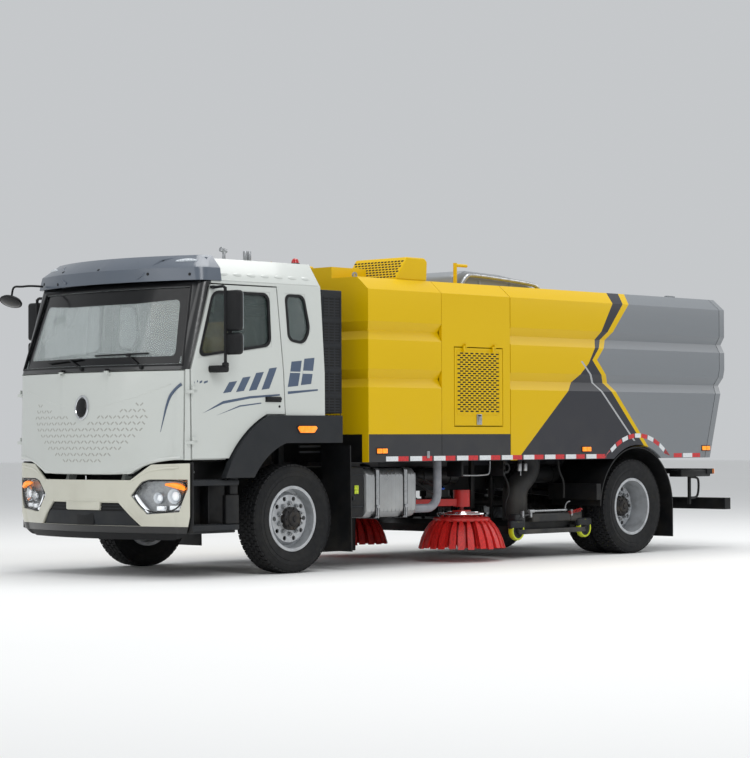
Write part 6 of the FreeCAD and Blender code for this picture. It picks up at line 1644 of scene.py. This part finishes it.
class SWEEPER_OT_cab_steps(bpy.types.Operator):
    """Entry steps: two treads in a dark well, and the cab's catch"""
    bl_idname = "sweeper.cab_steps"
    bl_label = "Cab steps"

    def execute(self, context):
        low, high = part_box("cab_steps")
        for side, word in SIDES:
            well, treads = Piece(), Piece()
            back, top = low.x + 0.004, high.z - 0.004
            for start, end, bevel, segments in (
                ((back, 0.97, low.z + 0.02), (high.x - 0.01, 0.99, top), 0.004, 2),
                ((high.x - 0.028, 0.97, low.z + 0.01), (high.x - 0.003, high.y - 0.006, top), 0.008, 2),
                ((back, high.y - 0.075, 0.478), (low.x + 0.165, high.y - 0.012, 0.745), 0.016, 3),
                ((back, high.y - 0.085, 0.745), (low.x + 0.10, high.y - 0.03, top), 0.012, 2),
                ((3.68, 0.98, 0.47), (3.70, 1.10, 0.84), 0.006, 2),
            ):
                well.span(start, end, bevel, segments)
            for z in (0.828, 0.426):
                treads.span((low.x + 0.012, 0.975, z), (high.x - 0.006, high.y - 0.002, z + 0.052), 0.012, 3)
                for row in range(4):
                    y = high.y - 0.035 - 0.042 * row
                    for column in range(11):
                        x = low.x + 0.06 + 0.046 * column
                        treads.block((x, y, z + 0.053), (0.030, 0.014, 0.010), 0.003, None, 1)
            treads.span((low.x + 0.02, 0.60, low.z + 0.002), (high.x - 0.02, 1.15, low.z + 0.03), 0.008)
            done = treads.settle(f"step_treads_{word}", "chassis", "trim", side)
            if side > 0:
                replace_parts(done, "cab_steps")
            well.settle(f"step_well_{word}", "chassis", "black", side)
            catch = Piece()
            catch.span((3.84, 0.985, 0.92), (3.90, 1.03, 0.985), 0.006)
            catch.bar((3.80, 1.02, 0.95), (3.95, 1.02, 0.95), 0.012, 12)
            catch.settle(f"cab_catch_{word}", "chassis", "zinc", side)
        return {"FINISHED"}


class SWEEPER_OT_roof_duct(bpy.types.Operator):
    """Hopper's rounded roof duct with its water pipe"""
    bl_idname = "sweeper.roof_duct"
    bl_label = "Roof duct"

    def execute(self, context):
        low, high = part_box("roof_duct")
        duct, pipe = Piece(), Piece()
        duct.plate([(high.x - 0.02, low.z - 0.004), (high.x - 0.03, 2.93), (high.x - 0.22, 2.995),
                    (high.x - 0.80, 2.975), (high.x - 1.22, 2.925), (high.x - 1.36, 2.86),
                    (high.x - 1.38, low.z - 0.004)], -0.44, 0.44, "y", 0.035)
        for x in (high.x - 0.45, high.x - 0.95):
            duct.span((x - 0.02, -0.452, low.z), (x + 0.02, 0.452, 2.90), 0.01)
        body = NODES["roof_duct"]["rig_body"]
        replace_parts(duct.settle("roof_duct_shell", body, "grey"), "roof_duct")
        pipe.pipe([(high.x - 0.10, 0.50, 2.83), (high.x - 0.16, 0.50, 2.93), (high.x - 0.30, 0.495, 2.95),
                   (high.x - 1.20, 0.49, 2.90), (high.x - 1.36, 0.49, 2.87),
                   (high.x - 1.40, 0.49, 2.795)], 0.022, 12)
        pipe.settle("roof_water_pipe", body, "zinc")
        return {"FINISHED"}


class SWEEPER_OT_underbody(bpy.types.Operator):
    """Air tanks, valves, hoses, brackets and guards beside the rails"""
    bl_idname = "sweeper.underbody"
    bl_label = "Underbody"

    def execute(self, context):
        for side, word in SIDES:
            black, bright = Piece(), Piece()
            for x, y, z, radius, length in ((0.18, 0.62, 0.86, 0.085, 0.70), (-1.42, 0.66, 0.86, 0.09, 0.66)):
                black.turned([(0, 0), (0, radius * 0.6), (0.03, radius * 0.94), (0.06, radius),
                              (length - 0.06, radius), (length - 0.03, radius * 0.94),
                              (length, radius * 0.6), (length, 0)], (x - length / 2, y, z), (1, 0, 0), 28)
                for along in (-0.2, 0.2):
                    black.turned([(-0.015, radius), (-0.015, radius + 0.007), (0.015, radius + 0.007),
                                  (0.015, radius)], (x + along, y, z), (1, 0, 0), 28)
            for x in (0.30, -0.34):
                black.span((x, 0.95, 0.86), (x + 0.03, 1.15, 1.02), 0.006)
            bright.pipe([(0.32, 1.10, 1.01), (0.32, 1.10, 0.89), (0.26, 1.10, 0.87), (-0.10, 1.10, 0.87),
                         (-0.16, 1.10, 0.89), (-0.16, 1.10, 1.01)], 0.008)
            for x in (-0.62, -0.71):
                bright.bar((x, 1.10, 0.905), (x, 1.10, 0.985), 0.024, 20, bevel=0.004)
                black.bar((x, 1.10, 0.982), (x, 1.10, 1.02), 0.028, 20)
            bright.bar((-0.64, 1.10, 0.86), (-0.64, 1.10, 0.91), 0.006, 10)
            black.turned([(-0.02, 0.035), (0.02, 0.035), (0.02, 0.055), (-0.02, 0.055), (-0.02, 0.035)],
                         (-0.36, 1.13, 0.94), (0, 1, 0), 28)
            black.bar((-0.36, 1.13, 0.98), (-0.36, 1.13, 1.02), 0.014, 12)
            for points in (
                [(-1.22, 1.12, 1.01), (-1.22, 1.13, 0.93), (-1.25, 1.13, 0.86), (-1.30, 1.14, 0.78),
                 (-1.31, 1.12, 0.62)],
                [(0.9, 0.70, 0.95), (0.72, 0.92, 0.86), (0.58, 0.94, 0.80), (0.34, 0.90, 0.72),
                 (0.2, 0.72, 0.78)],
                [(0.9, 0.80, 0.93), (0.78, 0.98, 0.80), (0.60, 0.98, 0.70), (0.40, 0.94, 0.68),
                 (0.22, 0.76, 0.70)],
                [(-0.45, 0.95, 1.0), (-0.50, 1.02, 0.84), (-0.56, 1.02, 0.70), (-0.52, 0.98, 0.56),
                 (-0.60, 0.92, 0.44)],
            ):
                black.pipe(points, 0.011)
            black.span((-0.50, 0.56, 0.52), (-0.44, 0.60, 1.02), 0.008)
            black.span((1.00, 0.30, 0.13), (1.60, 0.33, 0.50), 0.008)
            black.pipe([(1.95, 0.95, 0.50), (1.95, 0.95, 0.38), (1.93, 0.95, 0.33), (1.86, 0.95, 0.31),
                        (1.80, 0.95, 0.335), (1.80, 0.95, 0.37)], 0.016)
            black.settle(f"underbody_parts_{word}", "chassis", "black", side)
            bright.settle(f"underbody_fittings_{word}", "chassis", "zinc", side)
        return {"FINISHED"}


class SWEEPER_OT_brushes(bpy.types.Operator):
    """Side brushes: bristle bundles, plates and guard rings"""
    bl_idname = "sweeper.brushes"
    bl_label = "Side brushes"

    def execute(self, context):
        rng = random.Random(4)
        for side, word in SIDES:
            low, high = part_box(f"brush_{word}")
            x, y = (low.x + high.x) / 2, abs(low.y + high.y) / 2
            reach, top, bottom = (high.x - low.x) / 2, high.z, low.z
            bristles, plate, ring = Piece(), Piece(), Piece()
            # rows of bundles: how many, where they start and end as shares of the reach, how much shorter
            for count, start, end, drop in ((26, 0.60, 0.965, 0.0), (26, 0.50, 0.80, 0.01),
                                            (20, 0.40, 0.62, 0.012)):
                for index in range(count):
                    turn = 2 * math.pi * (index + rng.uniform(-0.12, 0.12)) / count
                    far = reach * end * rng.uniform(0.97, 1.0)
                    head = Vector((reach * start, 0, top - 0.098))
                    bend = Vector((reach * (start + end) / 2 + 0.02, 0, (top + bottom) / 2 + 0.03))
                    tip = Vector((far, 0, bottom + 0.004 + rng.uniform(0, 0.012) + drop))
                    part = bmesh.new()
                    bmesh.ops.create_cube(part, size=1)
                    uprights = [edge for edge in part.edges
                                if abs(edge.verts[0].co.z - edge.verts[1].co.z) > 0.5]
                    bmesh.ops.subdivide_edges(part, edges=uprights, cuts=3)
                    for vert in part.verts:
                        t = 0.5 - vert.co.z
                        place = head * (1 - t) ** 2 + bend * 2 * t * (1 - t) + tip * t * t
                        wide = (0.026 + 0.058 * t) * (1 - 0.25 * t ** 6)
                        vert.co = place + Vector((vert.co.x * 0.026, vert.co.y * wide, 0))
                    bristles.take(part, Matrix.Translation((x, y, 0)) @ Matrix.Rotation(turn, 4, "Z"))
            done = bristles.settle(f"bristles_{word}", f"brush_{word}", "bristle", side, 50)
            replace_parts(done, f"brush_{word}")
            plate.turned([(top - 0.13, 0), (top - 0.13, reach * 0.42), (top - 0.112, reach * 0.64),
                          (top - 0.086, reach * 0.64), (top - 0.074, reach * 0.60),
                          (top - 0.070, reach * 0.30), (top - 0.05, reach * 0.24),
                          (top - 0.004, reach * 0.20), (top - 0.004, 0)], (x, y, 0), UP, 48)
            for across, along in around(8, reach * 0.44):
                plate.block((x + across, y + along, top - 0.066), (0.03, 0.03, 0.02), 0.005)
            plate.settle(f"brush_plate_{word}", f"brush_{word}", "red", side)
            for height, radius in ((top - 0.040, reach * 0.54), (top - 0.024, reach * 0.40)):
                circle = around(8, 0.008)
                profile = [(height + up, radius + out) for out, up in circle + circle[:1]]
                ring.turned(profile, (x, y, 0), UP, 48)
            base = Vector((x, y, top - 0.034))
            for out in around(4, 1, 0.3):
                out = Vector((*out, 0))
                ring.bar(base + out * reach * 0.22, base + out * reach * 0.52, 0.006, 8)
            ring.settle(f"brush_guard_{word}", f"brush_{word}", "chrome", side)
        return {"FINISHED"}


class SWEEPER_OT_nozzle(bpy.types.Operator):
    """Nozzle wheels, springs, rods, hoses and covers"""
    bl_idname = "sweeper.nozzle"
    bl_label = "Suction nozzle"

    def execute(self, context):
        low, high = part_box("suction_nozzle")
        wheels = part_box("nozzle_wheels")
        top = low.z + 0.13
        for side, word in SIDES:
            tyres, hubs, rods, rubber = Piece(), Piece(), Piece(), Piece()
            y, z = wheels[1].y - 0.032, wheels[0].z + 0.1
            for x in (wheels[1].x - 0.1, wheels[0].x + 0.1):
                tyres.turned([(-0.028, 0.078), (-0.030, 0.092), (-0.018, 0.099), (0.018, 0.099),
                              (0.030, 0.092), (0.028, 0.078), (-0.028, 0.078)], (x, y, z), steps=40)
                hubs.turned([(-0.022, 0), (-0.022, 0.080), (0.022, 0.080), (0.022, 0.060), (0.010, 0.052),
                             (0.010, 0.022), (0.030, 0.018), (0.030, 0)], (x, y, z), steps=32)
                hubs.block((x, y, z + 0.062), (0.225, 0.064, 0.085), 0.022, None, 3)
            done = tyres.settle(f"nozzle_tyres_{word}", "nozzle", "lime", side)
            if side > 0:
                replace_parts(done, "nozzle_wheels")
            hubs.settle(f"nozzle_hubs_{word}", "nozzle", "trim", side)
            y = high.y + 0.012
            rod_y = y - 0.05
            for far, radius in ((low.x + 0.30, 0.012), (high.x - 0.22, 0.020)):
                rods.bar((high.x - 0.30, rod_y, top + 0.105), (far, rod_y, top + 0.105), radius, 12)
            for x in (high.x - 0.12, high.x - 0.25, low.x + 0.22):
                rods.block((x, rod_y, top + 0.075), (0.03, 0.03, 0.07), 0.006)
            rods.pipe([(low.x + 0.32, rod_y, top + 0.11), (low.x + 0.32, rod_y, top + 0.19),
                       (low.x + 0.24, rod_y, top + 0.195)], 0.007)
            rods.settle(f"nozzle_rods_{word}", "nozzle", "zinc", side)
            spring = Piece()
            turns = [(low.x + 0.06 + 0.20 * k / 48, rod_y + 0.019 * math.cos(k * math.pi / 3),
                      top + 0.10 - 0.03 * k / 48 + 0.019 * math.sin(k * math.pi / 3)) for k in range(49)]
            spring.pipe(turns, 0.0045, 4)
            spring.settle(f"nozzle_spring_{word}", "nozzle", "red", side)
            for x0, x1 in ((high.x - 0.02, high.x - 0.34), (low.x + 0.02, low.x + 0.36)):
                rubber.pipe([(x0, y - 0.06, top - 0.01), ((x0 + x1) / 2, y - 0.02, top + 0.13),
                             (x1, y - 0.08, top + 0.02)], 0.011)
            rubber.span((low.x + 0.02, high.y - 0.016, low.z + 0.002),
                        (high.x - 0.02, high.y - 0.002, low.z + 0.05), 0.003)
            centre = (high.x + low.x) / 2
            for place, size, bevel in (
                ((centre - 0.02, high.y - 0.10, top + 0.035), (0.62, 0.15, 0.09), 0.02),
                ((low.x + 0.14, high.y - 0.11, top + 0.045), (0.20, 0.17, 0.12), 0.03),
                ((high.x - 0.10, high.y - 0.10, top + 0.03), (0.16, 0.13, 0.10), 0.03),
            ):
                rubber.block(place, size, bevel, None, 3)
            for x in (high.x - 0.30, centre, low.x + 0.30):
                rubber.bar((x, high.y - 0.08, top), (x, high.y - 0.08, top + 0.115), 0.026, 16, bevel=0.006)
            rubber.settle(f"nozzle_hoses_{word}", "nozzle", "rubber", side)
        return {"FINISHED"}


class SWEEPER_OT_rear(bpy.types.Operator):
    """Rear door ribs, seal, tape and latches, and the rear bar's boxes, loops and lamps"""
    bl_idname = "sweeper.rear"
    bl_label = "Rear end"

    def execute(self, context):
        low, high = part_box("tailgate")
        tree = skin("tailgate")
        channels = Piece()
        rails = [rectangle(-1.08, z - 0.035, 1.08, z + 0.035)
                 for z in (low.z + 0.21, low.z + 0.68, high.z - 0.60)]
        posts = [rectangle(y - 0.035, low.z + 0.18, y + 0.035, high.z - 0.30)
                 for y in (-0.96, -0.48, 0, 0.48, 0.96)]
        for outline in rails + posts:
            lift = 0.030 if outline in rails else 0.026
            draped(channels, outline, tree, (1, 0, 0), lift, 0.12, 0.034)
        channels.settle("rear_door_channels", "tailgate", "grey")
        seal, tape = Piece(), {"tape_red": Piece(), "tape_white": Piece()}
        draped(seal, rectangle(-1.16, low.z + 0.008, 1.16, low.z + 0.026), tree, (1, 0, 0), 0.004, 0.2, 0.006)
        seal.settle("rear_door_seal", "tailgate", "seal")
        for index in range(12):
            y = -1.02 + 0.17 * index
            outline = rectangle(y, low.z + 0.055, y + 0.16, low.z + 0.100)
            piece = tape["tape_white" if index % 2 else "tape_red"]
            draped(piece, outline, tree, (1, 0, 0), 0.0012, 0.2, 0.001)
        for name, piece in tape.items():
            piece.settle(f"rear_{name}", "tailgate", name)
        latches = Piece()
        for y in (-1.13, -0.72, 0.72, 1.13):
            place, normal = laid(tree, (-6, y, low.z + 0.33), (1, 0, 0))
            latches.block(place + normal * 0.008, (0.07, 0.11, 0.02), 0.006, facing(normal))
            pin = place + normal * 0.028
            latches.bar(pin - Vector((0, 0, 0.10)), pin + Vector((0, 0, 0.04)), 0.012, 16)
        latches.settle("rear_door_latches", "tailgate", "zinc")
        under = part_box("rear_underrun")
        loops, markers, reflectors = Piece(), Piece(), Piece()
        for side in (1, -1):
            y = side * 1.05
            loops.pipe([(x, y, z) for x, z in ((-3.64, 0.80), (-3.76, 0.80), (-3.80, 0.76), (-3.79, 0.60),
                                               (-3.72, 0.565), (-3.62, 0.575))], 0.013)
            loops.bar((-3.62, y, 0.835), (-3.62, y, 0.50), 0.02, 12)
            loops.block((-3.585, side * 1.085, 0.846), (0.55, 0.17, 0.076), 0.012)
            y = side * 1.178
            markers.span((-3.918, y - 0.008, 0.838), (-3.885, y + 0.001, 0.892), 0.003)
            reflectors.turned([(0, 0), (0, 0.03), (0.008, 0.028), (0.008, 0)],
                              (under[0].x + 0.008, side, 0.48), (-1, 0, 0), 24)
        loops.settle("rear_loops", "chassis", "black")
        markers.settle("rear_side_markers", "chassis", "amber")
        reflectors.settle("rear_reflectors", "chassis", "red_lens")
        return {"FINISHED"}


# ---------------------------------------------------------------- panel

OPERATORS = (
    SWEEPER_OT_finishes, SWEEPER_OT_tyres, SWEEPER_OT_wheel_nuts, SWEEPER_OT_headlamps,
    SWEEPER_OT_rear_lamps, SWEEPER_OT_front_panel, SWEEPER_OT_bumper, SWEEPER_OT_windscreen,
    SWEEPER_OT_side_windows, SWEEPER_OT_door_fittings, SWEEPER_OT_roof_fittings, SWEEPER_OT_mirrors,
    SWEEPER_OT_seats, SWEEPER_OT_soft_edges, SWEEPER_OT_cab_steps, SWEEPER_OT_roof_duct,
    SWEEPER_OT_underbody, SWEEPER_OT_reflective_tape, SWEEPER_OT_service_doors, SWEEPER_OT_air_intake,
    SWEEPER_OT_body_roof, SWEEPER_OT_tank_and_boxes, SWEEPER_OT_brushes, SWEEPER_OT_nozzle,
    SWEEPER_OT_rear, SWEEPER_OT_stage,
)


class SWEEPER_PT_panel(bpy.types.Panel):
    """Lists the sweeper's settings and its pieces"""
    bl_idname = "SWEEPER_PT_panel"
    bl_label = "Street sweeper truck"
    bl_space_type = "VIEW_3D"
    bl_region_type = "UI"
    bl_category = "Sweeper"

    def draw(self, context):
        for key in SweeperSettings.__annotations__:
            self.layout.prop(context.scene.sweeper, key)
        for operator in OPERATORS:
            self.layout.operator(operator.bl_idname)


def register():
    for item in (SweeperSettings, *OPERATORS, SWEEPER_PT_panel):
        bpy.utils.register_class(item)
    bpy.types.Scene.sweeper = PointerProperty(type=SweeperSettings)


def unregister():
    del bpy.types.Scene.sweeper
    for item in (SWEEPER_PT_panel, *reversed(OPERATORS), SweeperSettings):
        bpy.utils.unregister_class(item)


def main():
    register()
    for operator in OPERATORS:
        getattr(bpy.ops.sweeper, operator.bl_idname.partition(".")[2])()


if __name__ == "__main__":
    main()
